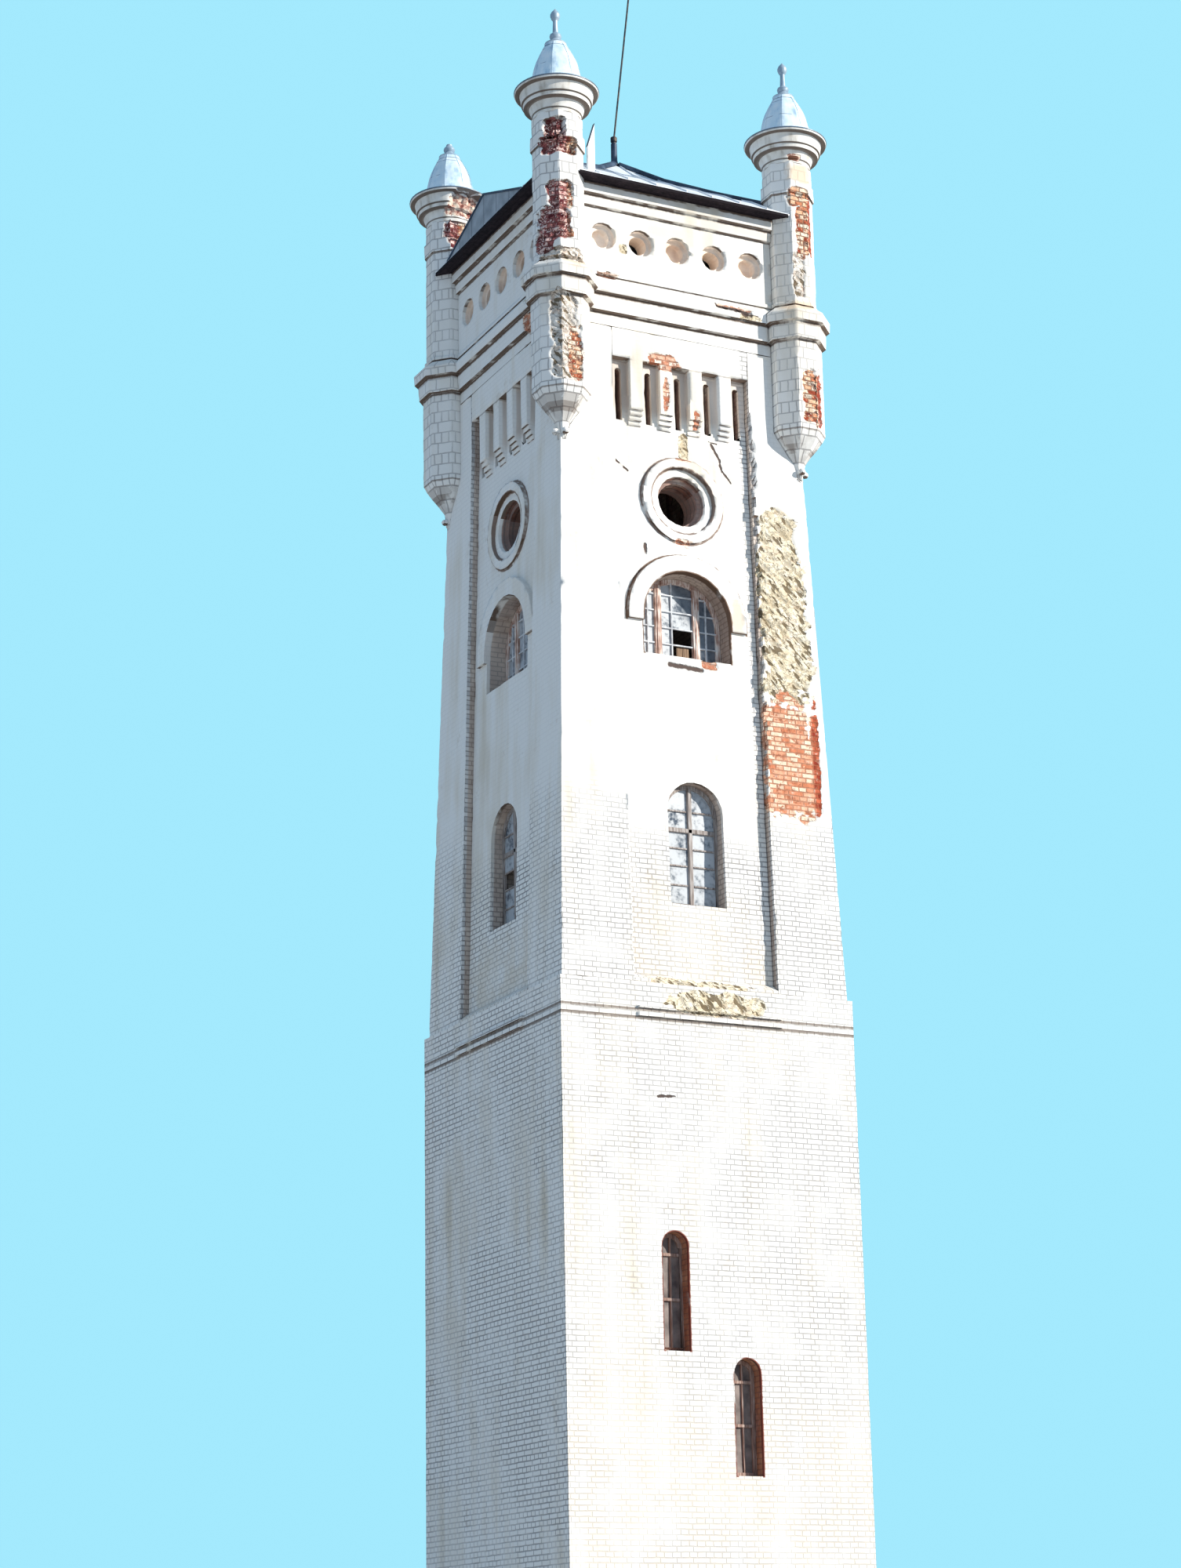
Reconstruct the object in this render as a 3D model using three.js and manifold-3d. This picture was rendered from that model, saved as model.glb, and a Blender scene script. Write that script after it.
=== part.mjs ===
// A square brick water tower with four corner turrets, in millimetres, Z up.
// The origin is the middle of the ground floor's underside and the front faces -Y.

import * as THREE from 'three';
import { mergeVertices } from 'three/addons/utils/BufferGeometryUtils.js';
import Module from 'manifold-3d';

// Joint between touching pieces
const GAP = 0.4;

// Shaft
const BASE_HALF = 2440;
const BASE_ROOM_HALF = 1350;
const BASE_TOP = 12000;
const GROUND_FLOOR_THICK = 200;
const PIER_FOOT_HALF = 2385;
const PIER_HEAD_HALF = 2105;
const BATTER_TOP = 21500;
const SHAFT_TOP = 22500;
const ROOM_HALF = 1400;
const UPPER_FLOOR_Z = 16400;
const UPPER_ROOM_HALF = 1450;
const FLOOR_THICK = 200;

// Recessed field between the piers of each face
const FIELD_HALF = 1200;
const RECESS = 140;
const SILL_SLOPE_FOOT = 12060;
const SILL_SLOPE_TOP = 12170;
const FIELD_TOP = 22010;
const SILL_MOULDINGS = [[11480, 11550], [11600, 11640]];
const MOULDING_STEP = 35;

// Hanging pilasters and narrow slots at the head of the field
const NICHES = 5;
const NICHE_PITCH = 520;
const NICHE_HALF = 145;
const PILASTER_FOOT = 21170;
const COURSE = 77;
const CORBEL_COURSES = 3;
const SLOT_HALF = 50;
const SLOT_FOOT = 21010;
const SLOT_SPRING = 21830;

// Windows
const LOW_WINDOW = { half: 465, sill: 13300, spring: 14750 };
const ARCH_WINDOW = { half: 750, sill: 17220, spring: 17850 };
const ARCH_BAND = 285;
const ARCH_BAND_FOOT = 17730;
const BAND_PROUD = 55;
const ROUND_Z = 19800;
const ROUND_OUTER = 410;
const ROUND_INNER = 340;
const ROUND_STEP = 150;
const ROUND_BAND = { inner: 545, outer: 710 };
const STAIR_WINDOWS = [
  { name: 'upper_stair_window', x: -675, half: 205, sill: 6700, spring: 8175 },
  { name: 'lower_stair_window', x: 435, half: 215, sill: 4980, spring: 6405 },
];
const STAIR_WINDOW_SETBACK = 200;
const WINDOW_SETBACK = 320;
const LOW_WINDOW_SETBACK = 225;
const FRAME_THICK = 70;
const FRAME_WIDTH = 65;
const PANE_THICK = 10;

// Door on the back
const DOOR_HALF = 500;
const DOOR_HEIGHT = 2150;
const DOOR_SETBACK = 250;
const DOOR_THICK = 60;

// Head of the tower
const HEAD_ROOM_HALF = 1700;
const CORNICE_FOOT = 22715;
const CORNICE_STEP = 23000;
const CORNICE_TOP = 23165;
const CORNICE_LOWER_PROUD = 65;
const CORNICE_UPPER_PROUD = 130;
const STRING_FOOT = 23330;
const STRING_TOP = 23400;
const STRING_PROUD = 25;
const EAVE_FILLET_FOOT = 24495;
const EAVE_FILLET_PROUD = 45;
const EAVE_BAND_FOOT = 24680;
const EAVE_BAND_PROUD = 110;
const HEAD_TOP = 24860;
const OCULUS_PITCH = 655;
const OCULUS_Z = 24025;
const OCULUS_OUTER = 220;
const OCULUS_INNER = 150;
const OCULUS_STEP = 110;
const BLIND_DEPTH = 220;
const EAVE_HALF = 2410;
const EAVE_RING_INNER = 1500;
const EAVE_THICK = 25;
const ROOF_HALF = 2430;
const ROOF_EDGE = 25;
const ROOF_SHELL = 60;
const ROOF_BREAKS = [[1900, 25275], [1250, 25645], [620, 26045]];
const APEX_HALF = 60;
const APEX_Z = 26500;

// Corner turrets
const TURRET_AXIS = 2075;
const LOWER_FLAT = 430;
const UPPER_FLAT = 378;
const CONSOLE = [
  [20450, 60], [20600, 85], [20720, 115], [20850, 200], [20980, 300], [21100, 380],
];
const CONSOLE_TOP = 21200;
const KNOB_Z = 20570;
const KNOB_RADIUS = 65;
const KNOB_OUT = 120;
const NECK_BAND = [25300, 25550];
const NECK_BAND_PROUD = 25;
const CAPITAL_Z = 25910;
const CAPITAL_THROAT = 350;
const CAPITAL_BELL = [[430, CAPITAL_Z], [545, 26090], [545, 26130], [575, 26150]];
const RIM_FOOT = 26300;
const RIM_Z = 26330;
const RIM_RADIUS = 667;
const DOME_FLANGE = 16;
const DOME_FLANGE_RADIUS = 675;
const DOME_CURVE = [[440, 26400], [390, 26650], [353, 26820], [287, 26980], [165, 27210]];
const FINIAL = [[80, 27300], [95, 27355], [45, 27420], [42, 27620], [78, 27740], [0, 27850]];
const BROKEN_FINIAL = [[80, 27300], [95, 27355], [65, 27410], [50, 27450], [0, 27460]];

// Mast on the apex
const MAST_BASE_RADIUS = 37.5;
const MAST_BASE_TOP = 27050;
const MAST_RADIUS = 15;
const MAST_LENGTH = 3250;
const MAST_LEAN = THREE.MathUtils.degToRad(6.5);
const MAST_LEAN_TOWARDS = THREE.MathUtils.degToRad(-26.7);

// Sheet-metal pieces on the roof
const GABLET = { out: 2400, foot: 24915, rise: 560, half: 1450, run: 1100 };
const VENT = { x: -1570, half: 60, yFront: -2260, thick: 60, foot: 24930, shoulder: 25450, top: 25850 };

const LIME_WHITE = 0xf1eee6;
const SHADE_PLASTER = 0xd9d3c6;
const TIMBER = 0xa08272;
const GREY_TIMBER = 0x8d8378;
const DARK_BOARD = 0x2b2227;
const SHEET_METAL = 0xdfe7ee;
const DARK_IRON = 0x2d3946;

const wasm = await Module();
wasm.setup();

// A closed geometry as a solid that can be cut and joined.
function solid(geometry) {
  const bare = geometry.clone();
  bare.deleteAttribute('normal');
  bare.deleteAttribute('uv');
  const merged = mergeVertices(bare, 1e-3);
  return new wasm.Manifold(new wasm.Mesh({
    numProp: 3,
    vertProperties: Float32Array.from(merged.attributes.position.array),
    triVerts: Uint32Array.from(merged.index.array),
  }));
}

// A solid back as a geometry.
function geometryOf(body) {
  const mesh = body.getMesh();
  const geometry = new THREE.BufferGeometry();
  geometry.setAttribute('position', new THREE.BufferAttribute(mesh.vertProperties, 3));
  geometry.setIndex(new THREE.BufferAttribute(mesh.triVerts, 1));
  geometry.computeVertexNormals();
  return geometry;
}

// Triangles of a flat outline, turned anticlockwise.
function capTriangles(points) {
  const outline = points.map(([x, y]) => new THREE.Vector2(x, y));
  return THREE.ShapeUtils.triangulateShape(outline, []).map(([a, b, c]) => {
    const turn = THREE.ShapeUtils.area([outline[a], outline[b], outline[c]]);
    return turn > 0 ? [a, b, c] : [a, c, b];
  });
}

function anticlockwise(points) {
  const outline = points.map(([x, y]) => new THREE.Vector2(x, y));
  return THREE.ShapeUtils.isClockWise(outline) ? [...points].reverse() : points;
}

// Rings of points, all with the same count, skinned one above the other and capped.
function skin(rings, caps) {
  const count = rings[0].length;
  const triangles = [];
  for (let level = 0; level + 1 < rings.length; level += 1) {
    for (let i = 0; i < count; i += 1) {
      const a = level * count + i;
      const b = level * count + (i + 1) % count;
      triangles.push([a, b, b + count], [a, b + count, a + count]);
    }
  }
  const last = (rings.length - 1) * count;
  for (const [a, b, c] of caps) {
    triangles.push([a, c, b], [last + a, last + b, last + c]);
  }
  const geometry = new THREE.BufferGeometry();
  const places = new Float32Array(rings.flat(2));
  geometry.setAttribute('position', new THREE.BufferAttribute(places, 3));
  geometry.setIndex(triangles.flat());
  return solid(geometry);
}

// A body from plan outlines at rising heights.
function loft(sections) {
  const rings = sections.map(({ z, plan }) => plan.map(([x, y]) => [x, y, z]));
  return skin(rings, capTriangles(sections[0].plan));
}

// A wall along the front: its profile, in distance from the axis and height,
// drawn out sideways as far as reach allows at each distance.
function run(profile, reach) {
  const section = anticlockwise(profile.map(([out, z]) => [-out, z]));
  const ring = (side) => section.map(([y, z]) => [side * reach(-y), y, z]);
  return skin([ring(-1), ring(1)], capTriangles(section));
}

const mitred = (out) => out - GAP;
const between = (half) => () => half - GAP;

function box(x0, x1, y0, y1, z0, z1) {
  const geometry = new THREE.BoxGeometry(x1 - x0, y1 - y0, z1 - z0);
  geometry.translate((x0 + x1) / 2, (y0 + y1) / 2, (z0 + z1) / 2);
  return solid(geometry);
}

// An outline drawn on the front face, x across and y up, pushed through the wall.
function through(shape, yFront, yBack, curveSegments = 6) {
  const depth = yBack - yFront;
  const geometry = new THREE.ExtrudeGeometry(shape, { depth, bevelEnabled: false, curveSegments });
  geometry.rotateX(Math.PI / 2);
  geometry.translate(0, yBack, 0);
  return solid(geometry);
}

function circle(x, z, radius) {
  const shape = new THREE.Shape();
  shape.absarc(x, z, radius, 0, Math.PI * 2, false);
  return shape;
}

function roundHeaded(x, half, sill, spring) {
  const shape = new THREE.Shape();
  shape.moveTo(x - half, sill);
  shape.lineTo(x + half, sill);
  shape.lineTo(x + half, spring);
  shape.absarc(x, spring, half, 0, Math.PI, false);
  shape.lineTo(x - half, sill);
  return shape;
}

function lathe(profile, segments) {
  const points = profile.map(([radius, z]) => new THREE.Vector2(radius, z));
  const geometry = new THREE.LatheGeometry(points, segments);
  geometry.rotateX(Math.PI / 2);
  return solid(geometry);
}

function octagon(flat, x = 0, y = 0) {
  const radius = flat / Math.cos(Math.PI / 8);
  return Array.from({ length: 8 }, (_, i) => {
    const angle = (i + 0.5) * Math.PI / 4;
    return [x + radius * Math.cos(angle), y + radius * Math.sin(angle)];
  });
}

function square(half) {
  return [[-half, -half], [half, -half], [half, half], [-half, half]];
}

// Half width of the piers' outer faces at a height.
function shaftHalf(z) {
  const climb = THREE.MathUtils.clamp((z - BASE_TOP) / (BATTER_TOP - BASE_TOP), 0, 1);
  return THREE.MathUtils.lerp(PIER_FOOT_HALF, PIER_HEAD_HALF, climb);
}

const fieldHalf = (z) => shaftHalf(z) - RECESS;

// The masonry of one corner turret: hanging console, octagonal drum and capital.
function turretMasonry(grow = 0) {
  const [neckFoot, neckTop] = NECK_BAND;
  const levels = [
    ...CONSOLE,
    [CONSOLE_TOP, LOWER_FLAT],
    [CORNICE_FOOT, LOWER_FLAT],
    [CORNICE_FOOT, LOWER_FLAT + CORNICE_LOWER_PROUD],
    [CORNICE_STEP, LOWER_FLAT + CORNICE_LOWER_PROUD + 10],
    [CORNICE_STEP, LOWER_FLAT + CORNICE_UPPER_PROUD],
    [CORNICE_TOP, LOWER_FLAT + CORNICE_UPPER_PROUD + 10],
    [STRING_FOOT, UPPER_FLAT + 5],
    [STRING_FOOT, UPPER_FLAT + STRING_PROUD],
    [STRING_TOP, UPPER_FLAT + STRING_PROUD],
    [STRING_TOP, UPPER_FLAT],
    [neckFoot, UPPER_FLAT],
    [neckFoot, UPPER_FLAT + NECK_BAND_PROUD],
    [neckTop, UPPER_FLAT + NECK_BAND_PROUD],
    [neckTop, UPPER_FLAT],
    [CAPITAL_Z + 20, UPPER_FLAT],
  ];
  const drum = loft(levels.map(([z, flat], index) => ({
    z: index === 0 ? z - grow : z,
    plan: octagon(flat + grow, TURRET_AXIS, -TURRET_AXIS),
  })));
  const capital = lathe([
    [0, CAPITAL_Z - 60], [CAPITAL_THROAT, CAPITAL_Z - 60], ...CAPITAL_BELL,
    [RIM_RADIUS, RIM_FOOT], [RIM_RADIUS, RIM_Z], [0, RIM_Z],
  ], 16).translate([TURRET_AXIS, -TURRET_AXIS, 0]);
  const knob = new THREE.SphereGeometry(KNOB_RADIUS + grow, 8, 5);
  const frontKnob = solid(knob).translate([TURRET_AXIS, -TURRET_AXIS - KNOB_OUT, KNOB_Z]);
  const sideKnob = solid(knob).translate([TURRET_AXIS + KNOB_OUT, -TURRET_AXIS, KNOB_Z]);
  return drum.add(capital).add(frontKnob).add(sideKnob);
}

// What a corner turret takes out of its neighbours, the outer corner included.
function turretNotch() {
  const edge = TURRET_AXIS - UPPER_FLAT * Math.tan(Math.PI / 8);
  const corner = box(edge, 4000, -4000, -edge, SHAFT_TOP, 27000);
  return turretMasonry(GAP).add(corner);
}

const notch = turretNotch();
const turnedNotch = (quarter) => notch.rotate([0, 0, 90 * quarter]);
const allNotches = [1, 2, 3].reduce((sum, quarter) => sum.add(turnedNotch(quarter)), notch);

function baseWall() {
  const profile = [
    [BASE_ROOM_HALF, 0], [BASE_HALF, 0], [BASE_HALF, BASE_TOP], [BASE_ROOM_HALF, BASE_TOP],
  ];
  let wall = run(profile, mitred);
  for (const [foot, top] of SILL_MOULDINGS) {
    wall = wall.add(box(-FIELD_HALF, FIELD_HALF, -BASE_HALF - MOULDING_STEP, -BASE_HALF + 50, foot, top));
  }
  return wall;
}

function frontBaseWall() {
  return STAIR_WINDOWS.reduce((wall, { x, half, sill, spring }) => {
    const hole = through(roundHeaded(x, half, sill, spring), -BASE_HALF - 200, -BASE_ROOM_HALF + 200);
    return wall.subtract(hole);
  }, baseWall());
}

function backBaseWall() {
  const top = GROUND_FLOOR_THICK + DOOR_HEIGHT;
  const doorway = box(-DOOR_HALF, DOOR_HALF, -BASE_HALF - 200, -BASE_ROOM_HALF + 200, GROUND_FLOOR_THICK, top);
  return baseWall().subtract(doorway);
}

// A solid corner pier with battered outer faces, open towards the rooms.
function pier() {
  const corner = (z) => {
    const half = shaftHalf(z);
    return [[FIELD_HALF, -half], [half, -half], [half, -FIELD_HALF], [FIELD_HALF, -FIELD_HALF]];
  };
  const levels = [BASE_TOP + GAP, BATTER_TOP, SHAFT_TOP];
  const lowerRoom = box(0, ROOM_HALF, -ROOM_HALF, 0, BASE_TOP - 1, UPPER_FLOOR_Z);
  const upperRoom = box(0, UPPER_ROOM_HALF, -UPPER_ROOM_HALF, 0, UPPER_FLOOR_Z - 1, SHAFT_TOP + 1);
  return loft(levels.map((z) => ({ z, plan: corner(z) })))
    .subtract(lowerRoom)
    .subtract(upperRoom)
    .subtract(notch);
}

function archBand() {
  const { half, spring } = ARCH_WINDOW;
  const shape = new THREE.Shape();
  shape.moveTo(half + ARCH_BAND, ARCH_BAND_FOOT);
  shape.lineTo(half + ARCH_BAND, spring);
  shape.absarc(0, spring, half + ARCH_BAND, 0, Math.PI, false);
  shape.lineTo(-half - ARCH_BAND, ARCH_BAND_FOOT);
  shape.lineTo(-half, ARCH_BAND_FOOT);
  shape.lineTo(-half, spring);
  shape.absarc(0, spring, half, Math.PI, 0, true);
  shape.lineTo(half, ARCH_BAND_FOOT);
  shape.closePath();
  return through(shape, -fieldHalf(spring) - BAND_PROUD, -fieldHalf(spring) + 100);
}

function roundBand() {
  const face = -fieldHalf(ROUND_Z);
  const { inner, outer } = ROUND_BAND;
  return through(circle(0, ROUND_Z, outer), face - BAND_PROUD, face + 100, 10)
    .subtract(through(circle(0, ROUND_Z, inner), face - 200, face + 200, 10));
}

// One pilaster hanging between two niches, its foot corbelled back course by course.
function hangingPilaster(x) {
  const half = NICHE_PITCH / 2 - NICHE_HALF;
  const face = -PIER_HEAD_HALF;
  let body = box(x - half, x + half, face, face + RECESS + 60, PILASTER_FOOT, FIELD_TOP + 50);
  for (let course = 1; course <= CORBEL_COURSES; course += 1) {
    const back = RECESS * course / (CORBEL_COURSES + 1);
    const top = PILASTER_FOOT - (course - 1) * COURSE;
    body = body.add(box(x - half, x + half, face + back, face + RECESS + 60, top - COURSE, top + 1));
  }
  return body;
}

function fieldWall() {
  const profile = [
    [ROOM_HALF, BASE_TOP + GAP], [PIER_FOOT_HALF, BASE_TOP + GAP],
    [PIER_FOOT_HALF, SILL_SLOPE_FOOT], [fieldHalf(SILL_SLOPE_TOP), SILL_SLOPE_TOP],
    [fieldHalf(BATTER_TOP), BATTER_TOP], [fieldHalf(BATTER_TOP), FIELD_TOP],
    [PIER_HEAD_HALF, FIELD_TOP], [PIER_HEAD_HALF, SHAFT_TOP],
    [UPPER_ROOM_HALF, SHAFT_TOP], [UPPER_ROOM_HALF, UPPER_FLOOR_Z], [ROOM_HALF, UPPER_FLOOR_Z],
  ];
  let wall = run(profile, between(FIELD_HALF)).add(archBand()).add(roundBand());
  const first = -(NICHES - 2) / 2;
  for (let gapIndex = 0; gapIndex < NICHES - 1; gapIndex += 1) {
    wall = wall.add(hangingPilaster((first + gapIndex) * NICHE_PITCH));
  }
  const outside = -PIER_FOOT_HALF - 200;
  const inside = -ROOM_HALF + 200;
  const low = roundHeaded(0, LOW_WINDOW.half, LOW_WINDOW.sill, LOW_WINDOW.spring);
  const arch = roundHeaded(0, ARCH_WINDOW.half, ARCH_WINDOW.sill, ARCH_WINDOW.spring);
  const step = -fieldHalf(ROUND_Z) + ROUND_STEP;
  wall = wall
    .subtract(through(low, outside, inside))
    .subtract(through(arch, outside, inside))
    .subtract(through(circle(0, ROUND_Z, ROUND_OUTER), outside, step, 10))
    .subtract(through(circle(0, ROUND_Z, ROUND_INNER), outside, inside, 10));
  for (let niche = 0; niche < NICHES; niche += 1) {
    const x = (niche - (NICHES - 1) / 2) * NICHE_PITCH;
    wall = wall.subtract(through(roundHeaded(x, SLOT_HALF, SLOT_FOOT, SLOT_SPRING), outside, inside, 3));
  }
  return wall;
}

// Cornice, frieze and eave mouldings of one side, with five round holes, two of them open.
function headWall() {
  const foot = SHAFT_TOP + GAP;
  const half = PIER_HEAD_HALF;
  const profile = [
    [HEAD_ROOM_HALF, foot],
    [half, foot],
    [half, CORNICE_FOOT],
    [half + CORNICE_LOWER_PROUD, CORNICE_FOOT],
    [half + CORNICE_LOWER_PROUD + 10, CORNICE_STEP],
    [half + CORNICE_UPPER_PROUD, CORNICE_STEP],
    [half + CORNICE_UPPER_PROUD + 10, CORNICE_TOP],
    [half + 5, STRING_FOOT],
    [half + STRING_PROUD, STRING_FOOT],
    [half + STRING_PROUD, STRING_TOP],
    [half, STRING_TOP],
    [half, EAVE_FILLET_FOOT],
    [half + EAVE_FILLET_PROUD, EAVE_FILLET_FOOT],
    [half + EAVE_FILLET_PROUD + 10, EAVE_BAND_FOOT],
    [half + EAVE_BAND_PROUD, EAVE_BAND_FOOT],
    [half + EAVE_BAND_PROUD, HEAD_TOP],
    [HEAD_ROOM_HALF, HEAD_TOP],
  ];
  let wall = run(profile, mitred);
  for (let place = -2; place <= 2; place += 1) {
    const x = place * OCULUS_PITCH;
    const open = Math.abs(place) === 1;
    const end = open ? -HEAD_ROOM_HALF + 200 : -half + BLIND_DEPTH;
    wall = wall
      .subtract(through(circle(x, OCULUS_Z, OCULUS_OUTER), -half - 200, -half + OCULUS_STEP, 8))
      .subtract(through(circle(x, OCULUS_Z, OCULUS_INNER), -half - 200, end, 8));
  }
  return wall.subtract(notch).subtract(turnedNotch(3));
}

// A wooden window with its panes, shaped to fill a round-headed hole.
function windowFrame({ x = 0, half, sill, spring }, bars, crossBars, yFront) {
  const fit = GAP;
  const outer = roundHeaded(x, half - fit, sill + fit, spring);
  const inner = roundHeaded(x, half - FRAME_WIDTH, sill + FRAME_WIDTH, spring);
  const frame = through(outer, yFront, yFront + FRAME_THICK);
  const light = through(inner, yFront - 50, yFront + FRAME_THICK + 50);
  const paneFront = yFront + (FRAME_THICK - PANE_THICK) / 2;
  const pane = through(outer, paneFront, paneFront + PANE_THICK);
  let body = frame.subtract(light).add(pane);
  const head = spring + half;
  const inside = frame.intersect(box(x - half, x + half, yFront, yFront + FRAME_THICK, sill, head));
  for (const [at, width] of bars) {
    const bar = box(x + at - width / 2, x + at + width / 2, yFront, yFront + FRAME_THICK, sill, head);
    body = body.add(bar.intersect(inside));
  }
  for (const [z, height] of crossBars) {
    const bar = box(x - half, x + half, yFront, yFront + FRAME_THICK, z - height / 2, z + height / 2);
    body = body.add(bar.intersect(inside));
  }
  return body;
}

function eaveBoards() {
  const ring = box(-EAVE_HALF, EAVE_HALF, -EAVE_HALF, EAVE_HALF, HEAD_TOP + GAP, HEAD_TOP + EAVE_THICK);
  const middle = EAVE_RING_INNER;
  const hole = box(-middle, middle, -middle, middle, HEAD_TOP - 100, HEAD_TOP + 200);
  return ring.subtract(hole).subtract(allNotches);
}

// The body under the roof's four concave slopes.
function roofBody() {
  const foot = HEAD_TOP + EAVE_THICK + GAP;
  const slope = [
    [ROOF_HALF, foot], [ROOF_HALF, foot + ROOF_EDGE], ...ROOF_BREAKS, [APEX_HALF, APEX_Z],
  ];
  return loft(slope.map(([half, z]) => ({ z, plan: square(half) })));
}

// The sheet-metal roof, open inside.
function roof() {
  const foot = HEAD_TOP + EAVE_THICK + GAP;
  const under = ROOF_BREAKS.slice(1).map(([half, z]) => [half, z - ROOF_SHELL]);
  const wallHead = EAVE_RING_INNER + 300;
  const hollow = loft([
    [wallHead, foot - 10], [wallHead, foot + 250], ...under, [APEX_HALF, APEX_Z - 2 * ROOF_SHELL],
  ].map(([half, z]) => ({ z, plan: square(half) })));
  return roofBody().subtract(hollow).subtract(allNotches);
}

// A low gable of sheet metal over the middle of the left eave, running back into the slope.
function roofGablet() {
  const { out, foot, rise, half, run: length } = GABLET;
  const shape = new THREE.Shape();
  shape.moveTo(-half, foot);
  shape.lineTo(half, foot);
  shape.lineTo(0, foot + rise);
  shape.closePath();
  return through(shape, -out, -out + length)
    .subtract(roofBody().translate([0, 0, GAP]))
    .rotate([0, 0, -90]);
}

// A flat sheet-metal vent with a slanted head, on the front eave beside the left turret.
function roofVent() {
  const { x, half, yFront, thick, foot, shoulder, top } = VENT;
  const shape = new THREE.Shape();
  shape.moveTo(x - half, foot);
  shape.lineTo(x + half, foot);
  shape.lineTo(x + half, top);
  shape.lineTo(x - half, shoulder);
  shape.closePath();
  return through(shape, yFront, yFront + thick).subtract(roofBody().translate([0, 0, GAP]));
}

function dome(finial) {
  const foot = RIM_Z + GAP;
  return lathe([
    [0, foot], [DOME_FLANGE_RADIUS, foot], [DOME_FLANGE_RADIUS, foot + DOME_FLANGE],
    ...DOME_CURVE, ...finial,
  ], 16).translate([TURRET_AXIS, -TURRET_AXIS, 0]);
}

function mast() {
  const foot = APEX_Z + GAP;
  const base = new THREE.CylinderGeometry(MAST_BASE_RADIUS, MAST_BASE_RADIUS, MAST_BASE_TOP - foot, 12);
  base.rotateX(Math.PI / 2);
  base.translate(0, 0, (MAST_BASE_TOP + foot) / 2);
  const rod = new THREE.CylinderGeometry(MAST_RADIUS, MAST_RADIUS, MAST_LENGTH, 8);
  rod.rotateX(Math.PI / 2);
  rod.translate(0, 0, MAST_LENGTH / 2);
  rod.rotateY(MAST_LEAN);
  rod.rotateZ(MAST_LEAN_TOWARDS);
  rod.translate(0, 0, MAST_BASE_TOP - 60);
  return solid(base).add(solid(rod));
}

function floorSlab(half, foot, thick) {
  return box(-half + GAP, half - GAP, -half + GAP, half - GAP, foot, foot + thick);
}

function named(name, body, color, roughness = 0.9, metalness = 0) {
  const material = new THREE.MeshStandardMaterial({ color, roughness, metalness });
  const mesh = new THREE.Mesh(geometryOf(body), material);
  mesh.name = name;
  return mesh;
}

const SIDES = ['front', 'right', 'back', 'left'];
const CORNERS = ['front_right', 'back_right', 'back_left', 'front_left'];
const BASE_WALLS = [frontBaseWall, baseWall, backBaseWall, baseWall];

const ARCH_BARS = [[-330, 120], [330, 120]];
const LOW_BARS = [[0, 70]];
const LOW_CROSS_BARS = [[14500, 70]];
const STAIR_CROSS_BAR = 60;

const tower = new THREE.Group();
tower.name = 'water_tower';

tower.add(named('ground_floor', floorSlab(BASE_ROOM_HALF, 0, GROUND_FLOOR_THICK), SHADE_PLASTER));
tower.add(named('lower_floor', floorSlab(ROOM_HALF, BASE_TOP + GAP, FLOOR_THICK), GREY_TIMBER));
tower.add(named('upper_floor', floorSlab(UPPER_ROOM_HALF, UPPER_FLOOR_Z + GAP, FLOOR_THICK), GREY_TIMBER));

SIDES.forEach((side, quarter) => {
  const face = new THREE.Group();
  face.rotation.z = quarter * Math.PI / 2;
  const corner = CORNERS[quarter];
  const archFront = -fieldHalf(ARCH_WINDOW.spring) + WINDOW_SETBACK;
  const lowFront = -fieldHalf(LOW_WINDOW.sill) + LOW_WINDOW_SETBACK;
  const archFrame = windowFrame(ARCH_WINDOW, ARCH_BARS, [], archFront);
  const lowFrame = windowFrame(LOW_WINDOW, LOW_BARS, LOW_CROSS_BARS, lowFront);
  face.add(named(`${side}_base_wall`, BASE_WALLS[quarter](), LIME_WHITE));
  face.add(named(`${corner}_pier`, pier(), LIME_WHITE));
  face.add(named(`${side}_field_wall`, fieldWall(), LIME_WHITE));
  face.add(named(`${side}_head_wall`, headWall(), LIME_WHITE));
  face.add(named(`${corner}_turret`, turretMasonry(), LIME_WHITE));
  const finial = corner.startsWith('back') ? BROKEN_FINIAL : FINIAL;
  face.add(named(`${corner}_turret_dome`, dome(finial), SHEET_METAL, 0.45, 0.7));
  face.add(named(`${side}_arched_window`, archFrame, TIMBER, 0.7));
  face.add(named(`${side}_low_window`, lowFrame, TIMBER, 0.7));
  tower.add(face);
});

for (const pane of STAIR_WINDOWS) {
  const middle = (pane.sill + pane.spring) / 2;
  const front = -BASE_HALF + STAIR_WINDOW_SETBACK;
  const crossBars = [[middle, STAIR_CROSS_BAR], [pane.spring, STAIR_CROSS_BAR]];
  tower.add(named(pane.name, windowFrame(pane, [], crossBars, front), GREY_TIMBER, 0.8));
}

const doorFoot = GROUND_FLOOR_THICK + GAP;
const doorTop = GROUND_FLOOR_THICK + DOOR_HEIGHT - GAP;
const doorBack = BASE_HALF - DOOR_SETBACK;
const door = box(-DOOR_HALF + GAP, DOOR_HALF - GAP, doorBack - DOOR_THICK, doorBack, doorFoot, doorTop);
tower.add(named('back_door', door, GREY_TIMBER, 0.8));

tower.add(named('eave_boards', eaveBoards(), DARK_BOARD, 0.8));
tower.add(named('roof', roof(), SHEET_METAL, 0.4, 0.7));
tower.add(named('left_roof_gablet', roofGablet(), SHEET_METAL, 0.5, 0.6));
tower.add(named('front_roof_vent', roofVent(), SHEET_METAL, 0.5, 0.6));
tower.add(named('mast', mast(), DARK_IRON, 0.6, 0.6));

export default tower;
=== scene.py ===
import math
import random

import bpy
from mathutils import Matrix, Vector, noise


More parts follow.
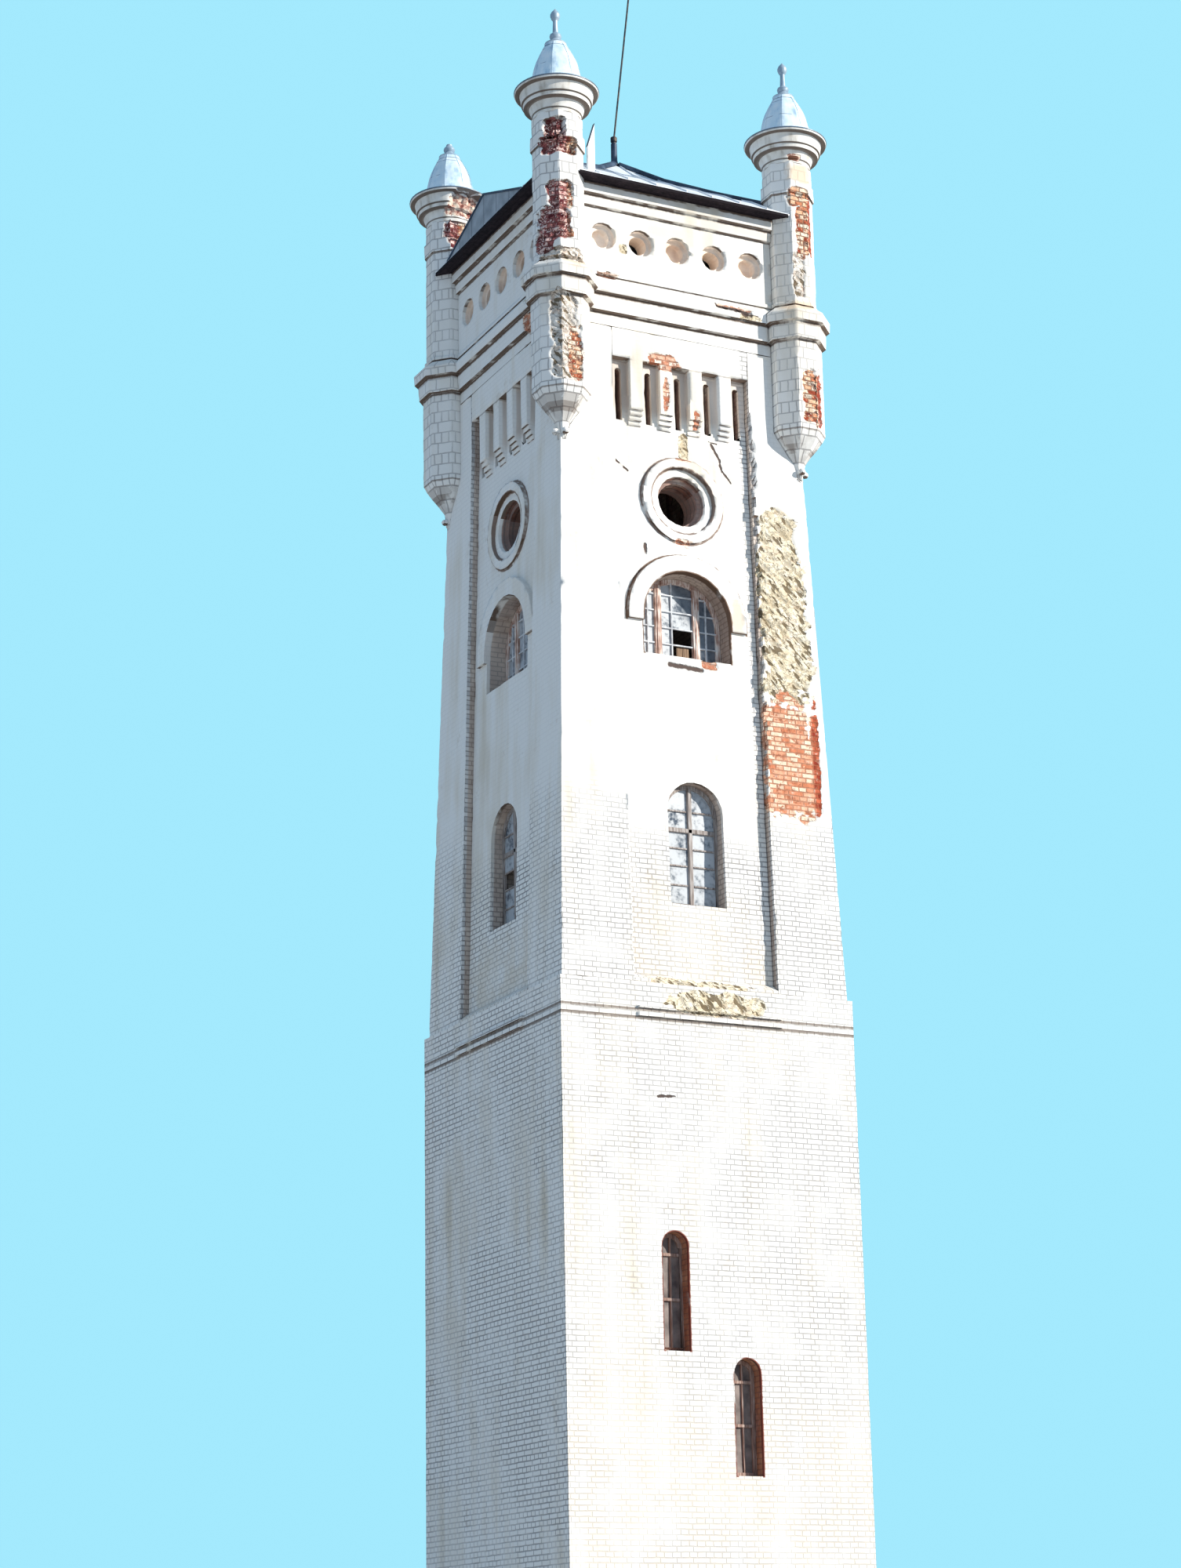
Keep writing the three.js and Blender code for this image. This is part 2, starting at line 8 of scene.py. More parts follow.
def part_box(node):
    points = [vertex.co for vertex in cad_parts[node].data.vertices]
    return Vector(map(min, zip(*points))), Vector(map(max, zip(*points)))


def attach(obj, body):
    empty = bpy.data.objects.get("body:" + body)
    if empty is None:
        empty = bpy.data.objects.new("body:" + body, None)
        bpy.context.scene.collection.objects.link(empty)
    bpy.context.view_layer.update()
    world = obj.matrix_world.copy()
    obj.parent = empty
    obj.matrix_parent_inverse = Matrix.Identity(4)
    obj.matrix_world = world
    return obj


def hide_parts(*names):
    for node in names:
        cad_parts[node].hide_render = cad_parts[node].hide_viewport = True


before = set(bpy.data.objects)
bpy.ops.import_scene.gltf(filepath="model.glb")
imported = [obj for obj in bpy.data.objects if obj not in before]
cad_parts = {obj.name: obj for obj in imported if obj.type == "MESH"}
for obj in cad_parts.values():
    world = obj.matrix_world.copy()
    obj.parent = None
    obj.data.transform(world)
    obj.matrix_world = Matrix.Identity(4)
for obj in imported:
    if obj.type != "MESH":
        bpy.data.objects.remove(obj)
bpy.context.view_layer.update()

# Base of the shaft: plain brick walls laid in rows of headers and stretchers and washed with lime.
# The wash has worn thin, so the joints show through, and the stair openings keep red-brown reveals.
SIDES = ["front", "right", "back", "left"]
COURSE = 0.077
STRETCHER = 0.26
HEADER = 0.13
JOINT = 0.011
BASE_HALF = 2.44
BASE_TOP = 12.0
FIELD_HALF = 1.2


class Wire:
    """One output of a node, so that a pattern can be written as sums and products."""

    def __init__(self, tree, socket):
        self.tree, self.socket = tree, socket

    def node(self, kind, settings, values, out=0):
        made = self.tree.nodes.new("ShaderNode" + kind)
        for key, setting in settings.items():
            if key != "stops":
                setattr(made, key, setting)
        if "stops" in settings:
            stops = settings["stops"]
            marks = made.color_ramp.elements
            marks[0].position, marks[1].position = stops[0][0], stops[-1][0]
            for at, _ in stops[1:-1]:
                marks.new(at)
            for mark, (_, color) in zip(marks, stops):
                mark.color = (*color, 1)
        for key, value in values.items() if isinstance(values, dict) else enumerate(values):
            if isinstance(value, Wire):
                self.tree.links.new(value.socket, made.inputs[key])
            else:
                made.inputs[key].default_value = value
        return Wire(self.tree, made.outputs[out])

    def math(self, operation, *others):
        return self.node("Math", {"operation": operation}, [self, *others])

    def __add__(self, other):
        return self.math("ADD", other)

    def __sub__(self, other):
        return self.math("SUBTRACT", other)

    def __rsub__(self, other):
        return self.node("Math", {"operation": "SUBTRACT"}, [other, self])

    def __mul__(self, other):
        return self.math("MULTIPLY", other)

    def __abs__(self):
        return self.math("ABSOLUTE")

    __radd__ = __add__
    __rmul__ = __mul__


def new_finish(name, roughness=0.9, metallic=0.0):
    material = bpy.data.materials.new(name)
    material.use_nodes = True
    shader = material.node_tree.nodes["Principled BSDF"]
    shader.inputs["Roughness"].default_value = roughness
    shader.inputs["Metallic"].default_value = metallic
    coordinates = material.node_tree.nodes.new("ShaderNodeTexCoord")
    return material, shader, Wire(material.node_tree, coordinates.outputs["Object"])


def lay(shader, socket, wire):
    wire.tree.links.new(wire.socket, shader.inputs[socket])


def rise(wire, low, high):
    return wire.node("MapRange", {"interpolation_type": "SMOOTHSTEP"}, [wire, low, high, 0.0, 1.0])


def blend(first, second, factor):
    pair = [(*c, 1) if isinstance(c, tuple) else c for c in (first, second)]
    return factor.node("Mix", {"data_type": "RGBA"}, {0: factor, 6: pair[0], 7: pair[1]}, out=2)


def tones(wire, *stops):
    return wire.node("ValToRGB", {"stops": stops}, [wire])


def part(place, axis):
    return place.node("SeparateXYZ", {}, [place], out=axis)


def grain(place, scale, detail=3.0, stretch=(1, 1, 1)):
    if stretch != (1, 1, 1):
        place = place.node("VectorMath", {"operation": "MULTIPLY"}, [place, stretch])
    return place.node("TexNoise", {}, {"Vector": place, "Scale": scale, "Detail": detail}, out=0)


def relief(shader, height):
    bump = height.node("Bump", {}, {"Strength": 1.0, "Distance": 1.0, "Height": height}, out=0)
    lay(shader, "Normal", bump)


def wall_run(place):
    """Distance along a wall and height on it, for walls that face eight ways."""
    facing = place.node("NewGeometry", {}, {}, out="True Normal")
    turn = part(facing, "Y").math("ARCTAN2", part(facing, "X"))
    turn = (turn * (4 / math.pi)).math("ROUND") * (math.pi / 4)
    along = part(place, "Y") * turn.math("COSINE") - part(place, "X") * turn.math("SINE")
    level = rise(abs(part(facing, "Z")), 0.75, 0.8)
    along = along * (1 - level) + part(place, "X") * level
    up = part(place, "Z") * (1 - level) + part(place, "Y") * level
    return along, up


def bricks(along, up, course=COURSE, stretcher=STRETCHER, joint=JOINT):
    """The joints between bricks, and a tone of its own for each brick."""
    cell = along.node("CombineXYZ", {}, [along, up, 0.0])
    settings = {"offset": 0.5, "offset_frequency": 2, "squash": 0.5, "squash_frequency": 2}
    values = {
        "Vector": cell, "Color1": (0, 0, 0, 1), "Color2": (1, 1, 1, 1), "Mortar": (0.5, 0.5, 0.5, 1),
        "Scale": 1.0, "Mortar Size": joint, "Mortar Smooth": 0.4, "Bias": 0.0,
        "Brick Width": stretcher, "Row Height": course,
    }
    return (cell.node("TexBrick", settings, values, out="Fac"),
            cell.node("TexBrick", settings, values, out="Color"))


def nearest(place, spots):
    """How far a place lies from the closest stain: 1 on the stain's own squarish edge."""
    closest = None
    for centre, radii in spots:
        away = place.node("VectorMath", {"operation": "SUBTRACT"}, [place, centre])
        away = away.node("VectorMath", {"operation": "DIVIDE"}, [away, radii])
        away = away.node("VectorMath", {"operation": "MULTIPLY"}, [away, away])
        away = away.node("VectorMath", {"operation": "LENGTH"}, [away], out="Value")
        closest = away if closest is None else closest.math("MINIMUM", away)
    return closest.math("SQRT")


def crack_line(place, points):
    """How far a place lies from a crack through the points, in metres."""
    closest = None
    for start, end in zip(points, points[1:]):
        run = Vector(end) - Vector(start)
        from_start = place.node("VectorMath", {"operation": "SUBTRACT"}, [place, start])
        share = from_start.node(
            "VectorMath", {"operation": "DOT_PRODUCT"}, [from_start, tuple(run)], out="Value"
        )
        share = share.node("Clamp", {}, [share * (1 / run.length_squared), 0.0, 1.0])
        foot = share.node("VectorMath", {"operation": "SCALE"}, {0: tuple(run), "Scale": share})
        gap = foot.node("VectorMath", {"operation": "SUBTRACT"}, [from_start, foot])
        gap = gap.node("VectorMath", {"operation": "LENGTH"}, [gap], out="Value")
        closest = gap if closest is None else closest.math("MINIMUM", gap)
    return closest


def red_brick(place, tone):
    return tones(
        tone, (0.25, (0.20, 0.04, 0.025)), (0.42, (0.46, 0.13, 0.07)), (0.6, (0.66, 0.30, 0.18)),
        (0.78, (0.74, 0.50, 0.35))
    )


def cream_render(tone):
    return tones(tone, (0.36, (0.60, 0.50, 0.34)), (0.48, (0.75, 0.66, 0.49)), (0.6, (0.84, 0.78, 0.64)))


def plain_reveal(place, tone):
    return tones(tone, (0.35, (0.34, 0.25, 0.20)), (0.65, (0.62, 0.52, 0.44)))


def masonry_finish(
    name, face, cracks=(), stains=(), stain=(0.74, 0.66, 0.56), ledges=(), show_joints=0.5, fade=None,
    block=(COURSE, STRETCHER, JOINT), brick=red_brick, bed=(0.10, 0.03, 0.025), crumbs=cream_render,
    cream_below=None, reveal=plain_reveal, ring=None, niches=None, returns=False, outlines=(),
    outline=(0.22, 0.065, 0.045)
):
    """Limewashed brick. Where the wall's own attributes say so, it is bare brick or crumbled render. face
    gives how far the wall's outer face stands from the tower's axis at a height, ledges the level, drop and
    strength of the painted shade, with some dirt, under each moulding, and niches their foot and head."""
    material, shader, place = new_finish(name)
    along, up = wall_run(place)
    height_here = part(place, "Z")
    ripple = (grain(place, 5.0, 3.0) - 0.5) * 0.03
    joints, tone = bricks(along + ripple, up + ripple * 0.6, *block)
    broad, mid, fine = grain(place, 0.55, 5.0), grain(place, 2.6, 6.0), grain(place, 45.0, 4.0)
    lumps = grain(place, 13.0, 3.0)
    runs = grain(place, 3.0, 4.0, stretch=(1.0, 1.0, 0.12))
    across = abs(part(place, "X")).math("MINIMUM", abs(part(place, "Y")))
    outside = face(height_here) - abs(part(place, "X")).math("MAXIMUM", abs(part(place, "Y")))

    seen = rise(broad * 0.6 + mid * 0.4, 0.40, 0.60) * show_joints + show_joints
    if fade:
        margin = rise(across, 1.03, 1.09) * (1.0 - rise(across, FIELD_HALF, FIELD_HALF + 0.01))
        margin = margin * rise(part(place, "X"), 0.0, 0.1)
        seen = seen * (1.0 - rise(height_here, *fade) * (1.0 - margin) * 0.9)
    lime = tones(
        broad * 0.5 + runs * 0.5, (0.3, (0.66, 0.60, 0.50)), (0.42, (0.80, 0.765, 0.70)),
        (0.52, (0.86, 0.85, 0.82))
    )
    lime = blend(lime, (0.74, 0.69, 0.61), rise(tone, 0.7, 1.0) * 0.3 * seen)
    lime = blend(lime, (0.31, 0.30, 0.30), joints * seen * 0.8)
    lime = blend(lime, (0.50, 0.42, 0.33), rise(mid * 0.7 + lumps * 0.3, 0.60, 0.70) * 0.30)
    height = mid * 0.008 + fine * 0.0014 - joints * seen * 0.005

    if cream_below:
        low = 1.0 - rise(height_here + (broad - 0.5) * 2.0, *cream_below)
        lime = blend(lime, (0.72, 0.65, 0.55), low * rise(mid, 0.30, 0.60) * 0.55)
    if stains:
        soaked = 1.0 - rise(nearest(place, stains) + mid * 1.1 + lumps * 0.4 - 0.75, 0.7, 1.15)
        lime = blend(lime, stain, soaked * 0.8)
    # Niche backs are painted darker and browner: painted shade in the niches, with some dirt.
    if niches:
        foot, top = niches
        back = rise(height_here, foot, foot + 0.25) * (1.0 - rise(height_here, top, top + 0.02))
        back = back * (1.0 - rise(0.0 - outside, 0.05, 0.09))
        lime = blend(lime, tones(runs, (0.4, (0.50, 0.42, 0.36)), (0.6, (0.76, 0.68, 0.61))), back * 0.85)
    # Dark lines are painted round the edges of the raised ring about the round window: painted shade at its
    # steps, with some dirt.
    if ring:
        level, edges = ring
        out = across * across + (height_here - level) * (height_here - level)
        out = out.math("POWER", 0.5)
        for edge in edges:
            line = 1.0 - rise(abs(out - edge) + (lumps - 0.5) * 0.03, 0.010, 0.028)
            lime = blend(lime, (0.20, 0.13, 0.10), line * rise(mid, 0.34, 0.46) * 0.9)
    # The pier returns, which face sideways into the recess, and the broken arris teeth are painted grey with
    # dark joints: painted shade, with some grey dirt.
    if returns:
        arris = place.node("Attribute", {"attribute_name": "arris"}, {}, out="Fac")
        facing = place.node("NewGeometry", {}, {}, out="True Normal")
        ahead = rise(abs(part(place, "Y")) - abs(part(place, "X")), -0.01, 0.01)
        outward = abs(part(facing, "Y")) * ahead + abs(part(facing, "X")) * (1 - ahead)
        side = (1.0 - rise(outward, 0.2, 0.5)) * (1.0 - rise(across, FIELD_HALF + 0.05, FIELD_HALF + 0.07))
        side = side.math("MAXIMUM", rise(arris, 0.3, 0.6))
        painted_shade_grey = blend(
            tones(tone * 0.5 + lumps * 0.5, (0.3, (0.42, 0.42, 0.43)), (0.7, (0.70, 0.69, 0.68))),
            (0.20, 0.19, 0.19), joints * 0.9
        )
        lime = blend(lime, painted_shade_grey, side * 0.85)
    for middle, half, sill, spring in outlines:
        aside = abs(part(place, "X") - middle)
        above = (height_here - spring).math("MAXIMUM", 0.0)
        clear = (aside * aside + above * above).math("POWER", 0.5) - half
        line = 1.0 - rise(abs(clear) + (lumps - 0.5) * 0.02, 0.010, 0.028)
        line = line * rise(height_here, sill - 0.03, sill - 0.01) * rise(mid, 0.30, 0.42)
        line = line * (1.0 - rise(height_here, spring + half + 0.05, spring + half + 0.06))
        lime = blend(lime, outline, line)
    # Painted shade, with some dirt: faces that look downward, and a band under each moulding as deep as its
    # shadow falls, are darkened brown.
    under = part(place.node("NewGeometry", {}, {}, out="True Normal"), "Z")
    ledge_painted_shade = rise(0.0 - under, 0.45, 0.7) * rise(runs, 0.34, 0.5)
    for foot, drop, strength in ledges:
        band = rise(height_here + (lumps - 0.5) * 0.03, foot - drop, foot - drop * 0.5)
        band = band * (1.0 - rise(height_here, foot + 0.001, foot + 0.006))
        ledge_painted_shade = ledge_painted_shade.math("MAXIMUM", band * rise(runs * 0.6 + broad * 0.4, 0.32, 0.44) * strength)
    lime = blend(lime, (0.12, 0.075, 0.05), ledge_painted_shade * 0.95)

    sunk = rise(outside, 0.045, 0.075)
    plaster = blend(
        reveal(place, mid * 0.6 + runs * 0.4), (0.14, 0.10, 0.085), joints * min(0.45, show_joints)
    )
    surface = blend(lime, plaster, sunk * 0.85)

    ragged = (mid - 0.5) * 1.5 + (tone - 0.5) * 0.4 + (lumps - 0.5) * 0.8
    pit = place.node("Attribute", {"attribute_name": "pit"}, {}, out="Fac")
    crumbled = rise(
        place.node("Attribute", {"attribute_name": "rough"}, {}, out="Fac") + ragged * 0.5, 0.42, 0.54
    )
    holes = rise(pit + (fine - 0.5) * 0.7 + (lumps - 0.5) * 0.5, 0.46, 0.70)
    # Dark marks on the crumbled render: the slanted strokes are painted shadows of the lumps, the wriggles
    # are cracks, and the deepest pits are darkened with painted shade.
    edges = grain(place, 7.5, 4.0, stretch=(1.0, 1.0, 1.5))
    wriggles = 1.0 - rise(abs(edges - 0.5) + (fine - 0.5) * 0.03, 0.006, 0.024)
    falling = (part(place, "X") - part(place, "Z")) * 0.36
    rising = (part(place, "X") + part(place, "Z")) * 0.95
    slanted = falling.node("CombineXYZ", {}, [falling, part(place, "Y"), rising])
    painted_lump_shadows = rise(grain(slanted, 11.0, 2.0) + (fine - 0.5) * 0.08, 0.545, 0.60)
    cracks_and_painted_shadow = painted_lump_shadows.math("MAXIMUM", (wriggles * 0.5).math("MAXIMUM", holes * 0.5))
    cream = crumbs(mid * 0.4 + lumps * 0.6)
    cream = blend(cream, (0.55, 0.33, 0.20), rise(tone * 0.4 + mid * 0.6, 0.60, 0.68) * 0.25)
    cream = blend(cream, (0.13, 0.09, 0.045), cracks_and_painted_shadow * 0.9)
    surface = blend(surface, cream, crumbled)
    height = height * (1 - crumbled) + (lumps * 0.008 + fine * 0.003 - cracks_and_painted_shadow * 0.012) * crumbled
    stripped = rise(
        place.node("Attribute", {"attribute_name": "bare"}, {}, out="Fac") + ragged * 0.5, 0.42, 0.54
    )
    joints, tone = bricks(along + ripple, up + ripple * 0.6)
    body = brick(place, tone * 0.55 + lumps * 0.33 + fine * 0.12)
    body = blend(body, (0.80, 0.70, 0.62), rise(lumps * 0.75 + fine * 0.25, 0.57, 0.64) * 0.45)
    # Joints, and the deepest pits of bare brick as painted shade, take the dark bed colour.
    body = blend(body, bed, (joints * 0.65).math("MAXIMUM", holes * 0.85))
    surface = blend(surface, body, stripped)
    chipped = tone * 0.012 + lumps * 0.014 + fine * 0.003 - joints * 0.014
    height = height * (1 - stripped) + chipped * stripped
    for points, width in cracks:
        split = 1.0 - rise(crack_line(place, points) + (lumps - 0.5) * 0.05, width * 0.5, width * 1.15)
        surface = blend(surface, (0.11, 0.08, 0.07), split)
        height = height - split * 0.02

    lay(shader, "Base Color", surface)
    lay(shader, "Roughness", 0.82 + mid * 0.2)
    shader.inputs["Specular IOR Level"].default_value = 0.2
    relief(shader, height)
    return material


def alone(piece):
    bpy.ops.object.select_all(action="DESELECT")
    piece.select_set(True)
    bpy.context.view_layer.objects.active = piece


def start_fresh():
    bpy.ops.object.select_all(action="DESELECT")


def wall_blank(node, planes, above=None):
    """A merged copy of a wall, its faces cut through at the planes so that they can wear."""
    blank = bpy.data.objects.new(node + "_blank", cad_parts[node].data.copy())
    bpy.context.scene.collection.objects.link(blank)
    alone(blank)
    bpy.ops.object.mode_set(mode="EDIT")
    bpy.ops.mesh.select_all(action="SELECT")
    bpy.ops.mesh.remove_doubles(threshold=1e-5)
    bpy.ops.mesh.dissolve_limited(angle_limit=0.005)
    for point, direction in planes:
        bpy.ops.mesh.select_all(action="SELECT")
        bpy.ops.mesh.bisect(plane_co=point, plane_no=direction)
    if above is not None:
        bpy.ops.mesh.select_all(action="SELECT")
        bpy.ops.mesh.bisect(plane_co=(0, 0, above), plane_no=(0, 0, 1), clear_outer=True, use_fill=True)
    bpy.ops.object.mode_set(mode="OBJECT")
    return blank


def course_planes(bottom, top, rise_by):
    """Level planes at every course."""
    return [
        ((0, 0, bottom + level * rise_by), (0, 0, 1))
        for level in range(1, int((top - bottom) / rise_by))
    ]


CLEAR_OF_EDGES = 0.013


def wall_planes(bottom, top, rise_by, half, step, across=0):
    """Level planes, and upright ones across the wall, along X or along Y."""
    planes = course_planes(bottom, top, rise_by)
    for at in range(-int(half / step), int(half / step) + 1):
        point, direction = [0, 0, 0], [0, 0, 0]
        point[across], direction[across] = at * step + CLEAR_OF_EDGES, 1
        planes.append((tuple(point), tuple(direction)))
    return planes


def away_from(at, centre, radii, pad=0.0):
    """1 on the squarish edge of a worn spot, less inside it."""
    return sum((max(abs(a - c) - pad, 0.0) / r) ** 4 for a, c, r in zip(at, centre, radii)) ** 0.25


def lump_at(at):
    """Crumbled masonry: lumps a hand wide that lie on the slant."""
    slant = Vector(((at.x * 0.8 - at.z * 0.6) * 6, at.y * 9, (at.x * 0.6 + at.z * 0.8) * 14))
    return noise.noise(slant) + 0.5 * noise.noise(at * 31)


def pick_faces(mesh, faces):
    """Only these faces selected, for the next step in edit mode."""
    bpy.context.tool_settings.mesh_select_mode = (False, False, True)
    for thing in (*mesh.vertices, *mesh.edges, *mesh.polygons):
        thing.select = False
    for index in faces:
        mesh.polygons[index].select = True


def refine(piece, spots, cuts):
    """Smaller faces where the wall is worn."""
    mesh = piece.data
    close = [polygon.index for polygon in mesh.polygons
             if any(away_from(polygon.center, centre, radii, 0.06) < 1.4 for _, centre, radii, _ in spots)]
    if not close:
        return
    pick_faces(mesh, close)
    alone(piece)
    bpy.ops.object.mode_set(mode="EDIT")
    bpy.ops.mesh.subdivide(number_cuts=cuts)
    bpy.ops.mesh.select_mode(type="VERT")
    bpy.ops.object.mode_set(mode="OBJECT")


WALL_INSIDE = 1.6
ARRIS_COSINE = 0.85
LEAST_WEAR = 0.003
SKIN_WEAR = 0.005
SPOT_REACH = 1.7


def worn_wall(name, node, blank, quarter, material, spots=(), chip=0.012, cuts=3, broken_edge=None):
    """A wall of its own from a blank, turned to its side, its faces and arrises worn back.
    A spot is its kind, bare or rough, its centre, its radii and how deep it goes."""
    piece = bpy.data.objects.new(name, blank.data.copy())
    bpy.context.scene.collection.objects.link(piece)
    mesh = piece.data
    mesh.transform(Matrix.Rotation(quarter * math.pi / 2, 4, "Z"))
    refine(piece, spots, cuts)
    mesh.update()
    sharp, normals = set(), {}
    for polygon in mesh.polygons:
        for corner in polygon.vertices:
            first = normals.setdefault(corner, polygon.normal.copy())
            if first.dot(polygon.normal) < ARRIS_COSINE:
                sharp.add(corner)
    worn = {"bare": [], "rough": [], "pit": [], "arris": []}
    moved = []
    for vertex in mesh.vertices:
        at = vertex.co
        depth, pit, share = 0.0, 0.0, {"bare": 0.0, "rough": 0.0}
        if max(abs(at.x), abs(at.y)) > WALL_INSIDE:
            depth = LEAST_WEAR + SKIN_WEAR * (0.5 + 0.5 * noise.noise(at * 1.7))
            if vertex.index in sharp:
                depth += chip * max(0.0, noise.noise(at * 4.1) + 0.35 * noise.noise(at * 13))
            for kind, centre, radii, deep in spots:
                away = away_from(at, centre, radii)
                if away > SPOT_REACH:
                    continue
                away += 0.30 * noise.noise(at * 4.3) + 0.14 * noise.noise(at * 15)
                inside = min(1.0, max(0.0, (1.25 - away) / 0.5))
                share[kind] = max(share[kind], inside)
                sunk = min(1.0, max(0.0, (inside - 0.35) / 0.3))
                if sunk > 0:
                    if kind == "rough":
                        lump = lump_at(at)
                    else:
                        lump = 0.8 * noise.noise(at * 12) + 0.5 * noise.noise(at * 31)
                    depth = max(depth, sunk * deep * (0.62 - 0.55 * lump) + 0.004)
                    pit = max(pit, sunk * (0.40 - 0.62 * lump))
        worn["bare"].append(share["bare"])
        worn["rough"].append(share["rough"])
        worn["pit"].append(pit)
        place = at - vertex.normal * depth
        broken = broken_edge(at, place) if broken_edge is not None else place
        worn["arris"].append(1.0 if broken is not place else 0.0)
        moved.append(broken)
    for vertex, at in zip(mesh.vertices, moved):
        vertex.co = at
    for key, values in worn.items():
        mesh.attributes.new(key, "FLOAT", "POINT").data.foreach_set("value", values)
    mesh.materials.clear()
    mesh.materials.append(material)
    alone(piece)
    bpy.ops.object.shade_smooth_by_angle(angle=math.radians(33))
    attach(piece, "root")
    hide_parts(node)
    return piece


def base_face(height):
    """How far the wall's face stands from the axis of the tower."""
    return height * 0 + BASE_HALF


def stair_reveal(place, tone):
    return tones(tone, (0.38, (0.30, 0.11, 0.06)), (0.60, (0.62, 0.34, 0.20)))


front_spots = [("rough", (0.1, -2.45, 11.75), (0.75, 0.1, 0.16), 0.03)]
base_cracks = [([(-0.9, -2.44, 10.32), (-0.62, -2.44, 10.34)], 0.02)]
STAIR_OPENINGS = [(-0.675, 0.205, 6.70, 8.175), (0.435, 0.215, 4.98, 6.405)]
base_ledges = [(11.6, 0.05, 0.8), (11.48, 0.06, 0.8)]
front_base_lime = masonry_finish(
    "base_lime_front", base_face, cracks=base_cracks, cream_below=(5.5, 7.0), ledges=base_ledges,
    show_joints=0.45, reveal=stair_reveal, outlines=STAIR_OPENINGS
)
side_base_lime = masonry_finish("base_lime_sides", base_face, ledges=base_ledges, show_joints=0.55)

base_cuts = wall_planes(0, BASE_TOP, 2 * COURSE, 2.4, HEADER)
plain_blank = wall_blank("right_base_wall", wall_planes(0, BASE_TOP, 2 * COURSE, 2.4, HEADER, across=1))
front_blank = wall_blank("front_base_wall", base_cuts)
back_blank = wall_blank("back_base_wall", base_cuts)
worn_wall("front_base_masonry", "front_base_wall", front_blank, 0, front_base_lime, front_spots, cuts=4)
for side, blank, quarter in (("right", plain_blank, 0), ("back", back_blank, 0), ("left", plain_blank, 2)):
    worn_wall(side + "_base_masonry", side + "_base_wall", blank, quarter, side_base_lime)
for blank in (plain_blank, front_blank, back_blank):
    bpy.data.objects.remove(blank)

# Corner piers: battered brick corners of the upper shaft. Rain off the turrets has stripped
# the front right one: crumbled cream render high up, open salmon brick lower down.
SHAFT_TOP = 22.5
PIER_FOOT_HALF = 2.385
BATTER = 0.28
BATTER_RISE = 9.5


def pier_face(height):
    climb = height.node("Clamp", {}, [(height - BASE_TOP) * (1 / BATTER_RISE), 0.0, 1.0])
    return PIER_FOOT_HALF - climb * BATTER


def salmon_brick(place, tone):
    pale = tones(
        tone, (0.28, (0.58, 0.21, 0.11)), (0.42, (0.76, 0.38, 0.24)), (0.56, (0.80, 0.51, 0.36)),
        (0.70, (0.80, 0.66, 0.50))
    )
    dark = tones(tone, (0.3, (0.26, 0.035, 0.018)), (0.7, (0.62, 0.16, 0.08)))
    # Bricks near the pier's outer arris are painted dark red: painted shadow along the broken edge of the
    # render.
    edge = rise(part(place, "X"), 2.0, 2.06)
    return blend(pale, dark, edge)


pier_spots = [
    ("rough", (1.64, -2.20, 17.95), (0.42, 0.12, 1.42), 0.035),
    ("rough", (1.62, -2.17, 19.25), (0.31, 0.12, 0.58), 0.03),
    ("bare", (1.62, -2.28, 15.75), (0.45, 0.12, 0.95), 0.03),
    ("bare", (2.06, -2.26, 15.75), (0.09, 0.14, 0.85), 0.03)
]
pier_lime = masonry_finish(
    "pier_lime", pier_face, show_joints=0.5, fade=(14.3, 15.4), brick=salmon_brick, bed=(0.36, 0.12, 0.06),
    returns=True
)
pier_cuts = course_planes(BASE_TOP, SHAFT_TOP, COURSE)
pier_cuts += [((FIELD_HALF + 0.1 * at, 0, 0), (1, 0, 0)) for at in range(1, 13)]
pier_cuts += [((0, -FIELD_HALF - 0.1 * at, 0), (0, 1, 0)) for at in range(1, 13)]
pier_cuts += [((1.225 + 0.025 * at, 0, 0), (1, 0, 0)) for at in (0, 1, 2, 4, 5)]
pier_blank = wall_blank("front_right_pier", pier_cuts)
CORNERS = ["front_right", "back_right", "back_left", "front_left"]
TEETH_FOOT = 15.0
TEETH_HEAD = 21.4
TOOTH_DEPTH = 0.06


def toothed_arris(at, place):
    """The render has left the inner arris of the front right pier, and bricks stand out like teeth."""
    if at.y > -2.0 or not TEETH_FOOT < at.z < TEETH_HEAD or not 1.19 < at.x < 1.38:
        return place
    course = math.floor(at.z / COURSE)
    tooth = 0.03 + 0.035 * (course // 2 % 2) + 0.07 * noise.noise(Vector((0.3, 0.7, course * 0.37)))
    tooth *= min(1.0, (TEETH_HEAD - at.z) * 2) * min(1.0, (at.z - TEETH_FOOT) * 0.6)
    if at.x - FIELD_HALF < tooth:
        return Vector((place.x, place.y + TOOTH_DEPTH, place.z))
    return place


for quarter, corner in enumerate(CORNERS):
    edge = toothed_arris if corner == "front_right" else None
    worn_wall(
        corner + "_pier_masonry", corner + "_pier", pier_blank, quarter, pier_lime, pier_spots, chip=0.03,
        broken_edge=edge
    )
bpy.data.objects.remove(pier_blank)

# Recessed fields between the piers, with their window openings, raised bands and hanging
# pilasters, all in brick and render under limewash. Damp has opened the front one below the cornice.
RECESS = 0.14
ARCH_HALF = 0.75
ARCH_SILL = 17.22
ARCH_SPRING = 17.85
ARCH_BAND = 0.285
ROUND_LEVEL = 19.8


def field_face(height):
    return pier_face(height) - RECESS


